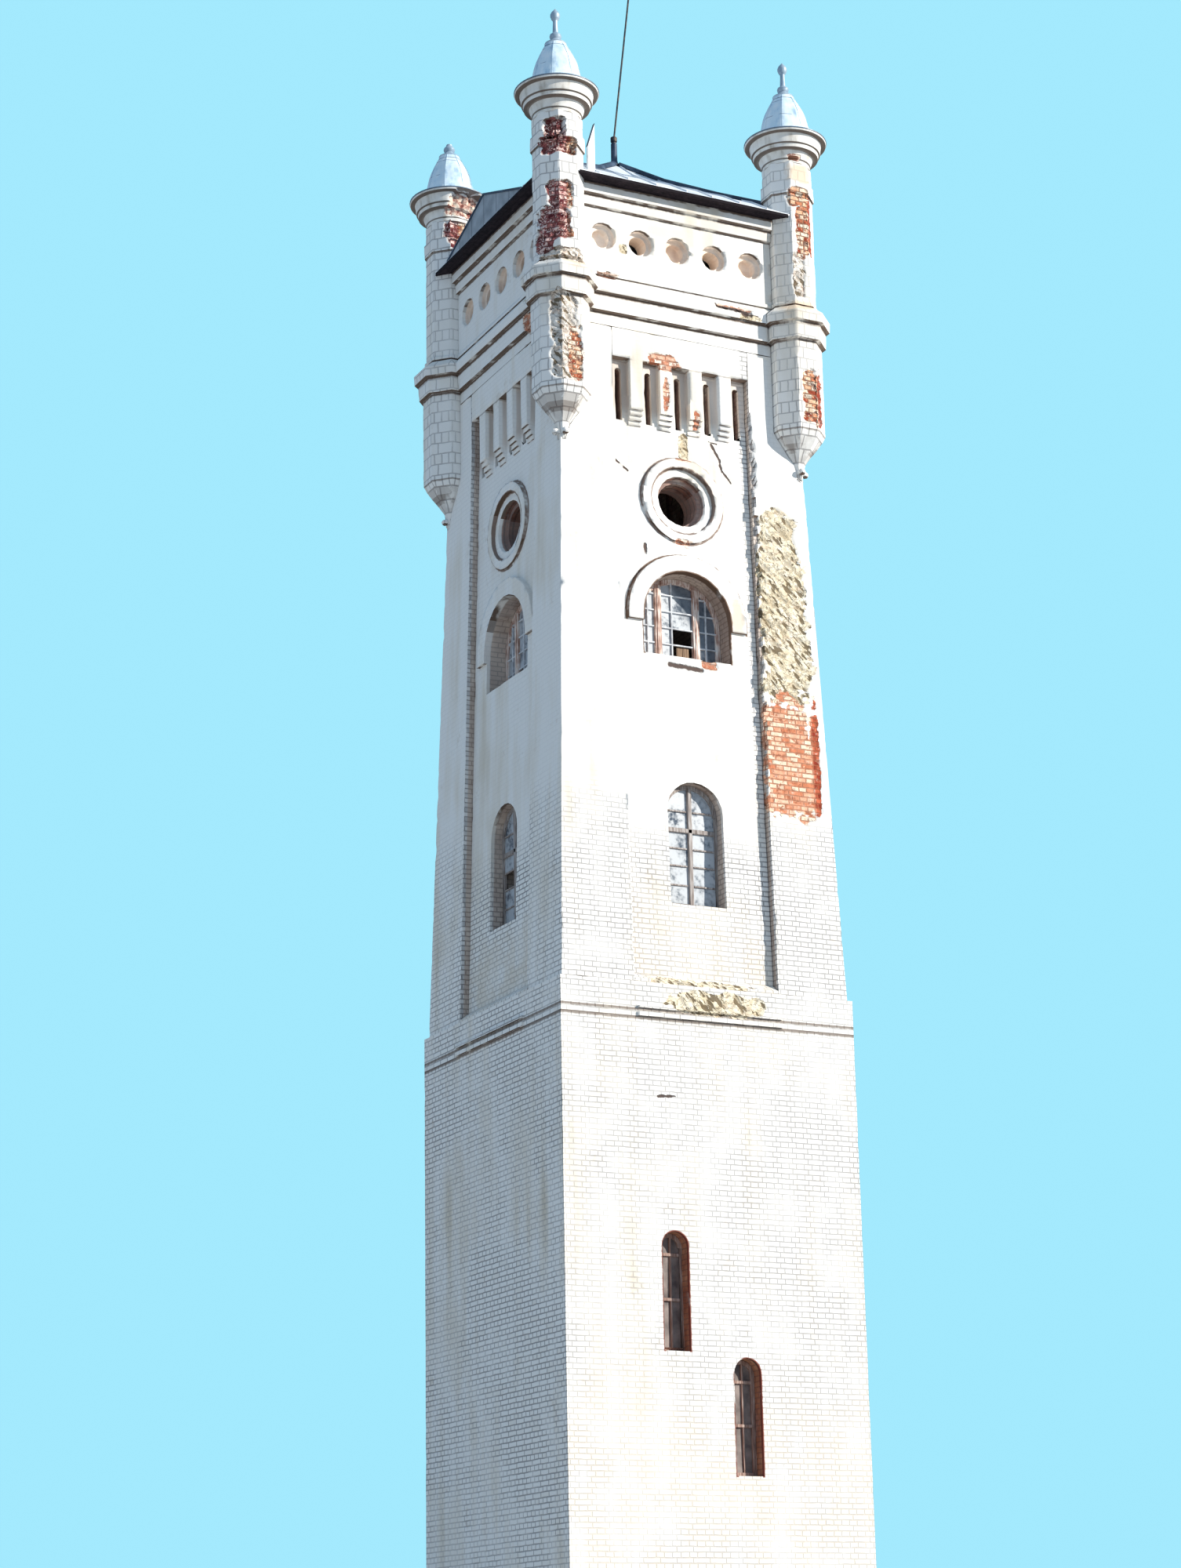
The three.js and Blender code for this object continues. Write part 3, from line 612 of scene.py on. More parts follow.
def window_reveal(place, tone):
    """Cream plaster in the arched openings, red brick rings in the round one, their brick tone darkened
    further as painted shade.
    """
    low = tones(tone, (0.35, (0.36, 0.27, 0.23)), (0.65, (0.66, 0.55, 0.46)))
    rings = tones(tone, (0.40, (0.14, 0.055, 0.04)), (0.54, (0.30, 0.15, 0.11)), (0.64, (0.56, 0.46, 0.39)))
    reach = abs(part(place, "X")).math("MAXIMUM", abs(part(place, "Y")))
    lines = (reach + tone * 0.02).math("PINGPONG", 0.06)
    rings = blend(rings, (0.07, 0.03, 0.025), (1.0 - rise(lines, 0.010, 0.022)) * 0.8)
    return blend(low, rings, rise(part(place, "Z"), 19.2, 19.25))


def orange_brick(place, tone):
    return tones(
        tone, (0.28, (0.44, 0.15, 0.08)), (0.42, (0.70, 0.36, 0.24)), (0.54, (0.78, 0.54, 0.40)),
        (0.66, (0.80, 0.70, 0.60))
    )


field_spots = [
    ("bare", (-0.33, -2.10, 22.05), (0.29, 0.08, 0.13), 0.035),
    ("bare", (-0.26, -2.10, 21.52), (0.05, 0.07, 0.30), 0.03),
    ("bare", (0.27, -2.08, 21.06), (0.06, 0.07, 0.24), 0.03),
    ("bare", (0.36, -2.10, 17.15), (0.13, 0.08, 0.07), 0.04),
    ("bare", (0.03, -2.08, 20.50), (0.15, 0.05, 0.05), 0.02),
    ("bare", (0.02, -2.07, 19.11), (0.16, 0.05, 0.04), 0.03),
    ("rough", (0.07, -1.98, 20.68), (0.09, 0.06, 0.26), 0.012),
    ("rough", (-0.05, -2.38, 12.02), (0.8, 0.1, 0.16), 0.03)
]
field_cracks = [
    ([(0.56, -1.985, 20.87), (0.70, -1.985, 20.62), (0.73, -1.985, 20.44), (0.89, -1.985, 20.26)], 0.022),
    ([(-1.19, -1.985, 21.42), (-1.08, -1.985, 21.30)], 0.02),
    ([(-1.18, -1.985, 20.36), (-0.93, -1.985, 20.17)], 0.02),
    ([(-0.67, -2.02, 18.98), (-0.67, -2.02, 18.84)], 0.035),
    ([(-0.33, -2.09, 17.07), (0.22, -2.09, 17.045)], 0.045),
    ([(0.52, -1.98, 20.90), (0.66, -1.98, 20.88)], 0.012)
]
field_stains = [((0.87, -2.05, 18.0), (0.12, 0.15, 0.30))]
field_outlines = [
    (0.0, ARCH_HALF + 0.002, ARCH_SILL, ARCH_SPRING), (0.0, ARCH_HALF + ARCH_BAND + 0.002, 17.73, ARCH_SPRING)
]
field_lime = masonry_finish(
    "field_lime", field_face, cracks=field_cracks, stains=field_stains, stain=(0.70, 0.60, 0.48),
    cream_below=(12.9, 13.9), ledges=[(22.01, 0.03, 0.5)], show_joints=0.6, fade=(13.9, 14.8),
    brick=orange_brick, bed=(0.34, 0.12, 0.07), reveal=window_reveal, outlines=field_outlines,
    outline=(0.19, 0.12, 0.085), ring=(ROUND_LEVEL, (0.545, 0.715)), niches=(21.05, 22.0)
)
field_blank = wall_blank("front_field_wall", wall_planes(BASE_TOP, SHAFT_TOP, COURSE, FIELD_HALF, 0.1))
for quarter, side in enumerate(SIDES):
    worn_wall(
        side + "_field_masonry", side + "_field_wall", field_blank, quarter, field_lime, field_spots,
        chip=0.014
    )
bpy.data.objects.remove(field_blank)

# Cornice, frieze and eave mouldings, built of brick, rendered and limewashed.
# Two lengths of the front string course have broken off to the orange brick.
HEAD_HALF = 2.105
HEAD_TOP = 24.86
CORNICE_FOOT = 22.715
CORNICE_STEP = 23.0
STRING_FOOT = 23.33


def head_face(height):
    return height * 0 + HEAD_HALF


def disc_reveal(place, tone):
    return tones(tone, (0.35, (0.66, 0.45, 0.33)), (0.47, (0.90, 0.72, 0.58)), (0.6, (0.93, 0.82, 0.72)))


head_spots = [
    ("bare", (-1.28, -2.14, 23.36), (0.20, 0.06, 0.06), 0.04),
    ("bare", (0.93, -2.2, 23.17), (0.33, 0.08, 0.06), 0.06),
    ("rough", (1.25, -2.2, 23.05), (0.2, 0.08, 0.05), 0.03),
    ("rough", (-0.97, -2.105, 23.86), (0.08, 0.04, 0.09), 0.015),
    ("bare", (-2.17, -1.15, 22.8), (0.1, 0.22, 0.16), 0.05),
    ("rough", (-2.15, -1.3, 23.2), (0.12, 0.3, 0.16), 0.04)
]
head_ledges = [
    (HEAD_TOP, 0.05, 1.0), (24.68, 0.05, 1.0), (24.495, 0.03, 0.9), (STRING_FOOT, 0.03, 0.8),
    (CORNICE_STEP, 0.055, 1.0), (CORNICE_FOOT, 0.05, 1.0)
]
head_stains = [
    ((-0.2, -2.1, 24.3), (0.5, 0.1, 0.1)), ((-0.9, -2.2, 22.85), (0.5, 0.2, 0.1)),
    ((1.1, -2.2, 24.58), (0.6, 0.2, 0.06))
]
head_cracks = [
    ([(0.60, -2.21, 23.165), (0.90, -2.21, 23.135), (1.22, -2.21, 23.105)], 0.05),
    ([(-1.44, -2.12, 23.32), (-1.16, -2.12, 23.31)], 0.035)
]
head_lime = masonry_finish(
    "head_lime", head_face, cracks=head_cracks, ledges=head_ledges, stains=head_stains,
    stain=(0.78, 0.72, 0.62), show_joints=0.04, brick=orange_brick, bed=(0.30, 0.09, 0.05), reveal=disc_reveal
)
head_blank = wall_blank("front_head_wall", wall_planes(SHAFT_TOP, HEAD_TOP, 0.045, 2.2, 0.1))
for quarter, side in enumerate(SIDES):
    worn_wall(
        side + "_head_masonry", side + "_head_wall", head_blank, quarter, head_lime, head_spots, chip=0.01,
        cuts=2
    )
bpy.data.objects.remove(head_blank)

# Corner turrets: octagonal brick drums on corbelled consoles. Frost has broken the outer skin
# of the front two: a hole under the capital of the left one, long open strips of brick on both.
# The back left one is open just below its capital.
TURRET_AXIS = 2.075


def pale_render(tone):
    return tones(tone, (0.36, (0.50, 0.39, 0.32)), (0.47, (0.72, 0.65, 0.57)), (0.58, (0.84, 0.80, 0.74)))


def turret_face(height):
    """The drums stand clear of every wall's face, so nothing on them is a reveal."""
    return height * 0 - 9.0


def turret_brick(place, tone):
    left = tones(
        tone, (0.28, (0.10, 0.018, 0.024)), (0.42, (0.30, 0.085, 0.085)), (0.54, (0.50, 0.22, 0.20)),
        (0.66, (0.76, 0.56, 0.51))
    )
    right = tones(
        tone, (0.28, (0.30, 0.06, 0.03)), (0.40, (0.66, 0.27, 0.14)), (0.52, (0.78, 0.52, 0.34)),
        (0.64, (0.80, 0.70, 0.56))
    )
    # Bricks at the right edge of the right turret's bare strip are painted dark red: painted shade on the
    # broken skin's edge.
    right = blend(right, (0.34, 0.05, 0.03), rise(part(place, "X"), 2.24, 2.28) * 0.85)
    return blend(
        right, left, (1.0 - rise(part(place, "X"), -2.12, -2.02)) * rise(part(place, "Z"), 22.4, 22.8)
    )


turret_spots = [
    ("bare", (-2.26, -2.40, 25.57), (0.15, 0.16, 0.165), 0.17),
    ("bare", (-2.20, -2.36, 25.26), (0.29, 0.2, 0.14), 0.09),
    ("bare", (-2.19, -2.40, 24.42), (0.20, 0.14, 0.25), 0.08),
    ("bare", (-2.26, -2.28, 23.95), (0.25, 0.28, 0.28), 0.08),
    ("bare", (-2.42, -2.2, 23.62), (0.12, 0.22, 0.15), 0.06),
    ("rough", (-2.15, -2.42, 23.40), (0.42, 0.25, 0.12), 0.06),
    ("rough", (-2.20, -2.47, 22.2), (0.19, 0.14, 0.55), 0.05),
    ("rough", (-2.16, -2.5, 21.6), (0.26, 0.14, 0.30), 0.05),
    ("bare", (-2.02, -2.52, 21.75), (0.11, 0.1, 0.40), 0.05),
    ("bare", (2.06, -2.46, 25.24), (0.21, 0.1, 0.18), 0.035),
    ("bare", (2.13, -2.46, 24.68), (0.14, 0.08, 0.48), 0.04),
    ("bare", (2.29, -2.40, 24.75), (0.05, 0.07, 0.5), 0.03),
    ("rough", (2.02, -2.46, 23.88), (0.11, 0.08, 0.38), 0.04),
    ("bare", (-1.98, 1.72, 25.62), (0.30, 0.12, 0.30), 0.06),
    ("bare", (2.22, -2.46, 21.75), (0.24, 0.14, 0.5), 0.05)
]
turret_stains = [
    ((2.13, -2.4, 25.66), (0.26, 0.2, 0.19)), ((2.0, -2.4, 23.2), (0.3, 0.2, 0.2)),
    ((-2.0, -2.45, 23.2), (0.3, 0.2, 0.15))
]
turret_ledges = [
    (25.91, 0.03, 0.6), (25.3, 0.03, 0.8), (STRING_FOOT, 0.035, 1.0), (CORNICE_STEP, 0.06, 1.0),
    (CORNICE_FOOT, 0.05, 0.9), (21.2, 0.03, 0.7)
]
turret_lime = masonry_finish(
    "turret_lime", turret_face, stains=turret_stains, stain=(0.74, 0.58, 0.42), ledges=turret_ledges,
    show_joints=0.42, block=(0.185, 0.25, 0.012), brick=turret_brick, crumbs=pale_render
)
turret_cuts = [((0, 0, 20.9 + 0.0385 * level), (0, 0, 1)) for level in range(130)]
turret_cuts += [
    ((TURRET_AXIS, -TURRET_AXIS, 0), (math.cos(a), math.sin(a), 0))
    for a in [math.radians(7.5 * k + 2.0) for k in range(24)]
]
turret_blank = wall_blank("front_right_turret", turret_cuts, above=25.87)
for quarter, corner in enumerate(CORNERS):
    worn_wall(
        corner + "_turret_masonry", corner + "_turret", turret_blank, quarter, turret_lime, turret_spots,
        chip=0.022, cuts=2
    )
bpy.data.objects.remove(turret_blank)

# Capitals of the turrets: rings run in render with a template round the brick core.
# Each steps out in two hollow mouldings under a thin flat lip.
CAPITAL = [
    (0.30, 25.85), (0.383, 25.85), (0.385, 25.905), (0.402, 25.92), (0.404, 25.94), (0.414, 25.98),
    (0.428, 26.015), (0.438, 26.046), (0.500, 26.054), (0.524, 26.060), (0.528, 26.075), (0.530, 26.105),
    (0.536, 26.122), (0.558, 26.130), (0.563, 26.142), (0.567, 26.18), (0.573, 26.235), (0.581, 26.28),
    (0.590, 26.292), (0.655, 26.297), (0.664, 26.303), (0.667, 26.314), (0.665, 26.328), (0.30, 26.328)
]
capital_lime, shader, place = new_finish("capital_render")
mid, fine = grain(place, 3.2, 6.0), grain(place, 60.0, 3.0)
streaks = grain(place, 9.0, 3.0, stretch=(1, 1, 0.15))
coat = tones(
    mid * 0.5 + streaks * 0.5, (0.36, (0.50, 0.46, 0.40)), (0.46, (0.76, 0.74, 0.69)),
    (0.58, (0.86, 0.85, 0.81))
)
up = part(place, "Z")
# Dark lines are painted in the corners of the mouldings, and faces that look downward are darker: painted
# shade, with some dirt.
for level, spread in ((26.292, 0.010), (26.127, 0.012), (26.056, 0.010), (25.912, 0.012)):
    line = 1.0 - rise(abs(up - level) + (mid - 0.5) * 0.012, spread * 0.4, spread * 1.1)
    coat = blend(coat, (0.10, 0.075, 0.06), line * 0.85)
facing = part(place.node("NewGeometry", {}, {}, out="True Normal"), "Z")
coat = blend(coat, (0.15, 0.11, 0.085), rise(0.0 - facing, 0.80, 0.95) * 0.8)
breaks = [((2.0, -2.5, 25.93), (0.12, 0.14, 0.06)), ((-1.93, 1.55, 26.1), (0.42, 0.6, 0.18))]
broken = 1.0 - rise(nearest(place, breaks) + grain(place, 9.0) * 0.9, 1.3, 1.4)
shards = tones(
    grain(place, 11.0, 3.0), (0.4, (0.20, 0.06, 0.045)), (0.5, (0.62, 0.40, 0.32)), (0.6, (0.78, 0.68, 0.56))
)
coat = blend(coat, shards, broken)
# A dark spot under the right capital stands for a hole that has no depth here: painted shade in the hole.
pit = [((1.99, -2.48, 25.925), (0.085, 0.14, 0.035))]
painted_hole_shade = 1.0 - rise(nearest(place, pit) + grain(place, 14.0) * 0.6, 1.2, 1.35)
coat = blend(coat, (0.14, 0.055, 0.03), painted_hole_shade)
lay(shader, "Base Color", coat)
relief(shader, mid * 0.006 + fine * 0.001 - broken * 0.02)


def turned_profile(name, outline, steps, material, axis=(TURRET_AXIS, -TURRET_AXIS), smooth=35):
    """A ring or dome turned round an upright axis from its outline."""
    start_fresh()
    bpy.ops.mesh.primitive_circle_add(vertices=len(outline), fill_type="NOTHING")
    piece = bpy.context.object
    piece.name = name
    for vertex, (radius, height) in zip(piece.data.vertices, outline):
        vertex.co = (axis[0] + radius, axis[1], height)
    piece.matrix_world = Matrix.Identity(4)
    bpy.ops.object.mode_set(mode="EDIT")
    bpy.ops.mesh.select_all(action="SELECT")
    bpy.ops.mesh.spin(steps=steps, angle=2 * math.pi, center=(axis[0], axis[1], 0), axis=(0, 0, 1))
    bpy.ops.mesh.select_all(action="SELECT")
    bpy.ops.mesh.remove_doubles(threshold=2e-5)
    bpy.ops.mesh.normals_make_consistent(inside=False)
    bpy.ops.object.mode_set(mode="OBJECT")
    piece.data.materials.append(material)
    bpy.ops.object.shade_smooth_by_angle(angle=math.radians(smooth))
    return piece


def place_round(piece, names, quarters=range(4)):
    """Copies of a piece, each with its own mesh, turned by whole quarters round the tower."""
    made = []
    for quarter, name in zip(quarters, names):
        own = bpy.data.objects.new(name, piece.data.copy())
        bpy.context.scene.collection.objects.link(own)
        own.data.transform(Matrix.Rotation(quarter * math.pi / 2, 4, "Z"))
        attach(own, "root")
        made.append(own)
    bpy.data.objects.remove(piece)
    return made


capital = turned_profile("capital", CAPITAL, 96, capital_lime)
capitals = place_round(capital, [corner + "_capital" for corner in CORNERS])
for vertex in capitals[2].data.vertices:
    at = vertex.co
    out = Vector((at.x + TURRET_AXIS, at.y - TURRET_AXIS, 0))
    away = away_from(at, (-1.93, 1.55, 26.12), (0.42, 0.6, 0.20)) + 0.25 * noise.noise(at * 6)
    if away < 1 and out.length > 0.36 and at.z < 26.32:
        keep = 0.36 + (out.length - 0.36) * (0.45 + 0.5 * noise.noise(at * 13))
        vertex.co = at + out.normalized() * (keep - out.length) * min(1, (1 - away) * 4)

# Turret domes: zinc sheets bent over boards in eight flat gores, with upright seams between them,
# a flat flange on the capital, a collar, and a turned finial with two knobs. Both back finials
# have lost their tops.
SKIRT = [
    (0.02, 26.3304), (0.675, 26.3304), (0.676, 26.338), (0.675, 26.347), (0.455, 26.392), (0.444, 26.402)
]
GORES = [
    (0.440, 26.43), (0.430, 26.50), (0.412, 26.58), (0.392, 26.65), (0.374, 26.735), (0.353, 26.82),
    (0.323, 26.905), (0.287, 26.98), (0.246, 27.06), (0.205, 27.13), (0.176, 27.185)
]
COLLAR = [
    (0.172, 27.20), (0.178, 27.206), (0.176, 27.216), (0.150, 27.225), (0.118, 27.25), (0.084, 27.285),
    (0.074, 27.30), (0.090, 27.325), (0.096, 27.355), (0.088, 27.383)
]
WHOLE_TOP = [
    (0.062, 27.405), (0.046, 27.42), (0.042, 27.50), (0.037, 27.60), (0.040, 27.635), (0.062, 27.665),
    (0.078, 27.71), (0.078, 27.745), (0.060, 27.785), (0.03, 27.82), (0.006, 27.85), (0.004, 27.849)
]
BROKEN_TOP = [
    (0.066, 27.408), (0.052, 27.425), (0.05, 27.448), (0.03, 27.452), (0.006, 27.459), (0.004, 27.458)
]
GORE_FOOT = 26.40
GORE_HEAD = 27.19
GORE_ANGLE = 45
SEAM_TURN = 10
zinc, shader, place = new_finish("dome_zinc", roughness=0.4, metallic=0.15)
mid, fine = grain(place, 5.0, 5.0), grain(place, 90.0, 2.0)
drips = grain(place, 14.0, 4.0, stretch=(1, 1, 0.1))
up = part(place, "Z")
sheet = tones(
    mid * 0.6 + drips * 0.4, (0.34, (0.36, 0.52, 0.66)), (0.45, (0.64, 0.80, 0.90)),
    (0.60, (0.80, 0.90, 0.95))
)
sheet = blend(sheet, (0.05, 0.09, 0.15), (1.0 - rise(up, 26.350, 26.356)) * 0.85)
# The collar and finial are painted darker, and a dark line is painted round the dome near its top for the
# shade under a small tier: painted shade.
sheet = blend(sheet, (0.16, 0.24, 0.33), rise(up, 27.19, 27.21) * 0.65)
step_shade_line = 1.0 - rise(abs(up - 27.125) + (mid - 0.5) * 0.03, 0.004, 0.010)
sheet = blend(sheet, (0.08, 0.14, 0.20), step_shade_line * 0.85)
laps = (up - 26.44 + mid * 0.02).math("PINGPONG", 0.155)
sheet = blend(sheet, (0.16, 0.24, 0.34), (1.0 - rise(laps, 0.002, 0.010)) * rise(mid, 0.48, 0.56) * 0.8)
lay(shader, "Base Color", sheet)
lay(shader, "Roughness", 0.30 + mid * 0.3)
relief(shader, grain(place, 3.0, 2.0) * 0.03 + fine * 0.0004)


def flatten_gores(piece):
    """Eight nearly flat gores between the seams."""
    for vertex in piece.data.vertices:
        if not GORE_FOOT < vertex.co.z < GORE_HEAD:
            continue
        out = Vector((vertex.co.x - TURRET_AXIS, vertex.co.y + TURRET_AXIS, 0))
        turn = (math.degrees(math.atan2(out.y, out.x)) - SEAM_TURN) % GORE_ANGLE - GORE_ANGLE / 2
        flat = math.cos(math.radians(GORE_ANGLE / 2)) / math.cos(math.radians(turn))
        fade_in = min(1.0, (vertex.co.z - GORE_FOOT) / 0.06, (GORE_HEAD - vertex.co.z) / 0.10)
        dent = 0.006 * noise.noise(vertex.co * 7)
        change = out * ((flat - 1) * 0.75 * fade_in) + out.normalized() * dent * fade_in
        vertex.co = vertex.co + change


for top, quarters in ((WHOLE_TOP, (0, 3)), (BROKEN_TOP, (1, 2))):
    dome = turned_profile("dome", SKIRT + GORES + COLLAR + top, 48, zinc, smooth=24)
    flatten_gores(dome)
    corners = [CORNERS[quarter] for quarter in quarters]
    sheets = place_round(dome, [corner + "_dome_sheets" for corner in corners], quarters)
    for own, corner in zip(sheets, corners):
        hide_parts(corner + "_turret_dome")


BAR = [(-0.5, 0.0), (0.5, 0.0), (0.5, 1.0), (-0.5, 1.0)]


def drawn_strip(points, width, height, across, section=BAR):
    """A bar drawn through the points, its width along across and its height upward."""
    start_fresh()
    bpy.ops.mesh.primitive_circle_add(vertices=len(section), fill_type="NGON")
    bar = bpy.context.object
    across = Vector(across)
    start = Vector(points[0])
    for vertex, (side, lift) in zip(bar.data.vertices, section):
        vertex.co = start + across * side * width + Vector((0, 0, height)) * lift
    bpy.ops.object.mode_set(mode="EDIT")
    bpy.ops.mesh.select_all(action="SELECT")
    for last, following in zip(points, points[1:]):
        step = Vector(following) - Vector(last)
        bpy.ops.mesh.extrude_region_move(TRANSFORM_OT_translate={"value": tuple(step)})
    bpy.ops.mesh.select_all(action="SELECT")
    bpy.ops.mesh.normals_make_consistent(inside=False)
    bpy.ops.object.mode_set(mode="OBJECT")
    return bar


def join(pieces, name, material):
    start_fresh()
    for piece in pieces:
        piece.select_set(True)
    bpy.context.view_layer.objects.active = pieces[0]
    bpy.ops.object.join()
    whole = bpy.context.object
    whole.name = name
    whole.data.materials.clear()
    whole.data.materials.append(material)
    return whole


def seam(angle):
    """An upright seam up one side of the dome."""
    curve = [SKIRT[-1]] + GORES
    out = Vector((math.cos(angle), math.sin(angle), 0))
    axis = Vector((TURRET_AXIS, -TURRET_AXIS, 0))
    points = [axis + out * (r - 0.004) + Vector((0, 0, z)) for r, z in curve]
    return drawn_strip(points, 0.009, 0.016, Vector((-out.y, out.x, 0)))


seams = join([seam(math.radians(GORE_ANGLE * k + SEAM_TURN)) for k in range(8)], "dome_seams", zinc)
place_round(seams, [corner + "_dome_seams" for corner in CORNERS])

# Roof: four hollow-curved slopes of galvanised sheet with standing seams, folded over at the eave.
# Sheet rolls cover the hips, coloured near black: painted shade.
SLOPE = [(2.43, 24.9104), (1.90, 25.275), (1.25, 25.645), (0.62, 26.045), (0.06, 26.50)]
roof_sheet, shader, place = new_finish("roof_sheet", roughness=0.45, metallic=0.15)
mid, fine = grain(place, 1.8, 5.0), grain(place, 55.0, 3.0)
coat = tones(
    mid * 0.7 + grain(place, 9.0, 3.0) * 0.3, (0.36, (0.52, 0.60, 0.68)), (0.50, (0.76, 0.81, 0.86)),
    (0.66, (0.84, 0.87, 0.90))
)
coat = blend(coat, (0.34, 0.22, 0.14), rise(mid * 0.5 + fine * 0.5, 0.60, 0.68) * 0.3)
lay(shader, "Base Color", coat)
lay(shader, "Roughness", 0.35 + mid * 0.3)
relief(shader, grain(place, 1.3, 2.0) * 0.02 + fine * 0.0006)
# Near-black blue sheet for the hip rolls, the gablet's verge and the vent's edge: painted shade standing for
# their shaded sides. The mast's skirt uses it too.
shade_dark_sheet, shader, place = new_finish("roof_shade_dark_sheet", roughness=0.5, metallic=0.2)
mid = grain(place, 6.0, 5.0)
lay(shader, "Base Color", tones(mid, (0.35, (0.012, 0.028, 0.055)), (0.65, (0.05, 0.085, 0.14))))
lay(shader, "Roughness", 0.35 + mid * 0.35)
relief(shader, grain(place, 30.0, 3.0) * 0.002)


def dress(node, material):
    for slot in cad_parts[node].material_slots:
        slot.material = material


dress("roof", roof_sheet)


def slope_height(out):
    for (outer, low), (inner, high) in zip(SLOPE, SLOPE[1:]):
        if inner <= out <= outer:
            return low + (high - low) * (outer - out) / (outer - inner)
    return SLOPE[0][1]


ribs = []
for at in range(-3, 4):
    x = at * 0.5 + (0.04 if at == 0 else 0)
    limit = max(abs(x), 0.12)
    stops = [2.41] + [out for out, _ in SLOPE[1:-1] if out > limit] + [limit]
    points = [(x, -out, slope_height(out)) for out in stops]
    ribs.append(drawn_strip(points, 0.012, 0.028, (1, 0, 0)))
ribs = join(ribs, "roof_ribs", roof_sheet)
place_round(ribs, [side + "_roof_seams" for side in SIDES])
ROLL = [(-0.5, -0.35), (0.5, -0.35), (0.42, 0.55), (0.2, 1.0), (-0.2, 1.0), (-0.42, 0.55)]
hip_points = [(out, -out, slope_height(out)) for out in (1.80, 1.25, 0.62, 0.07)]
hip = join([drawn_strip(hip_points, 0.15, 0.065, Vector((1, 1, 0)).normalized(), ROLL)], "hip", shade_dark_sheet)
place_round(hip, [corner + "_hip_roll" for corner in CORNERS])

# Mast: a steel pipe socket on the apex with a thin rod that leans in its clamp. A dark skirt
# closes the foot of the socket.
MAST_SKIRT = [
    (0.036, 26.50), (0.10, 26.502), (0.10, 26.52), (0.062, 26.57), (0.053, 26.62), (0.051, 26.92),
    (0.036, 26.93)
]
MAST_CLAMP = [
    (0.0372, 26.96), (0.052, 26.96), (0.055, 26.97), (0.055, 27.03), (0.052, 27.04), (0.0372, 27.04)
]
iron, shader, place = new_finish("mast_iron", roughness=0.6, metallic=0.5)
mid = grain(place, 12.0, 4.0)
lay(shader, "Base Color", tones(mid, (0.4, (0.02, 0.03, 0.045)), (0.65, (0.10, 0.075, 0.06))))
relief(shader, grain(place, 70.0, 3.0) * 0.001)
dress("mast", iron)
for name, outline, steps, finish in (
    ("mast_skirt", MAST_SKIRT, 24, shade_dark_sheet), ("mast_clamp", MAST_CLAMP, 20, iron)
):
    fitting = turned_profile(name, outline, steps, finish, axis=(0, 0))
    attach(fitting, "root")

# Eave: boards nailed under the overhang, with a drip board nailed along their edge. The boards are coloured
# near black: painted shade under the overhang, and the drip board takes the same near black. Some boards have
# shrunk and show a gap.
near_black_boards, shader, place = new_finish("eave_near_black", roughness=0.75)
mid = grain(place, 7.0, 5.0)
fibres = grain(place, 4.0, 5.0, stretch=(6, 6, 30))
outward = abs(part(place, "X")).math("MAXIMUM", abs(part(place, "Y")))
gap = 1.0 - rise(outward.math("PINGPONG", 0.045), 0.0, 0.004)
wood = tones(
    mid * 0.5 + fibres * 0.5, (0.35, (0.010, 0.008, 0.011)), (0.6, (0.030, 0.022, 0.027)),
    (0.75, (0.085, 0.060, 0.062))
)
lay(shader, "Base Color", blend(wood, (0.006, 0.005, 0.007), gap))
shader.inputs["Specular IOR Level"].default_value = 0.08
relief(shader, fibres * 0.003 - gap * 0.006)
dress("eave_boards", near_black_boards)
DRIP = [(-0.5, 0.0), (0.5, 0.06), (0.5, 1.0), (-0.5, 1.0)]
drip_line = [(-1.87, -2.420, 24.852), (-0.6, -2.420, 24.850), (0.5, -2.420, 24.853), (1.87, -2.420, 24.850)]
drip = drawn_strip(drip_line, 0.024, 0.054, (0, -1, 0), DRIP)
drip = join([drip], "drip", near_black_boards)
place_round(drip, [side + "_drip_board" for side in SIDES])

# Left gablet and front vent: flat metal sheets folded over light frames that stand on the roof.
# Strips of sheet cover the gablet's verge and the vent's sloping edge, coloured near black: painted shade.
# The gablet's sheet is a darker grey than the roof's: painted shade on a face that stands in shade.
gablet_sheet_painted_shade, shader, place = new_finish("gablet_sheet_painted_shade", roughness=0.55, metallic=0.2)
mid = grain(place, 2.5, 5.0)
line = 1.0 - rise(part(place, "Y").math("PINGPONG", 0.24), 0.004, 0.014)
coat = tones(mid, (0.35, (0.22, 0.25, 0.28)), (0.65, (0.42, 0.46, 0.50)))
lay(shader, "Base Color", blend(coat, (0.12, 0.14, 0.17), line * 0.6))
relief(shader, line * 0.012 + grain(place, 1.9, 2.0) * 0.015)
dress("left_roof_gablet", gablet_sheet_painted_shade)
dress("front_roof_vent", roof_sheet)
verge = [
    drawn_strip([(-2.392, 1.45 * side, 24.915), (-2.392, 0, 25.475)], 0.05, 0.035, (1, 0, 0))
    for side in (-1, 1)
]
verge = join(verge, "left_gablet_verge", shade_dark_sheet)
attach(verge, "root")
flashing = drawn_strip([(-1.632, -2.23, 25.446), (-1.508, -2.23, 25.852)], 0.075, 0.016, (0, 1, 0))
flashing = join([flashing], "front_vent_flashing", shade_dark_sheet)
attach(flashing, "root")

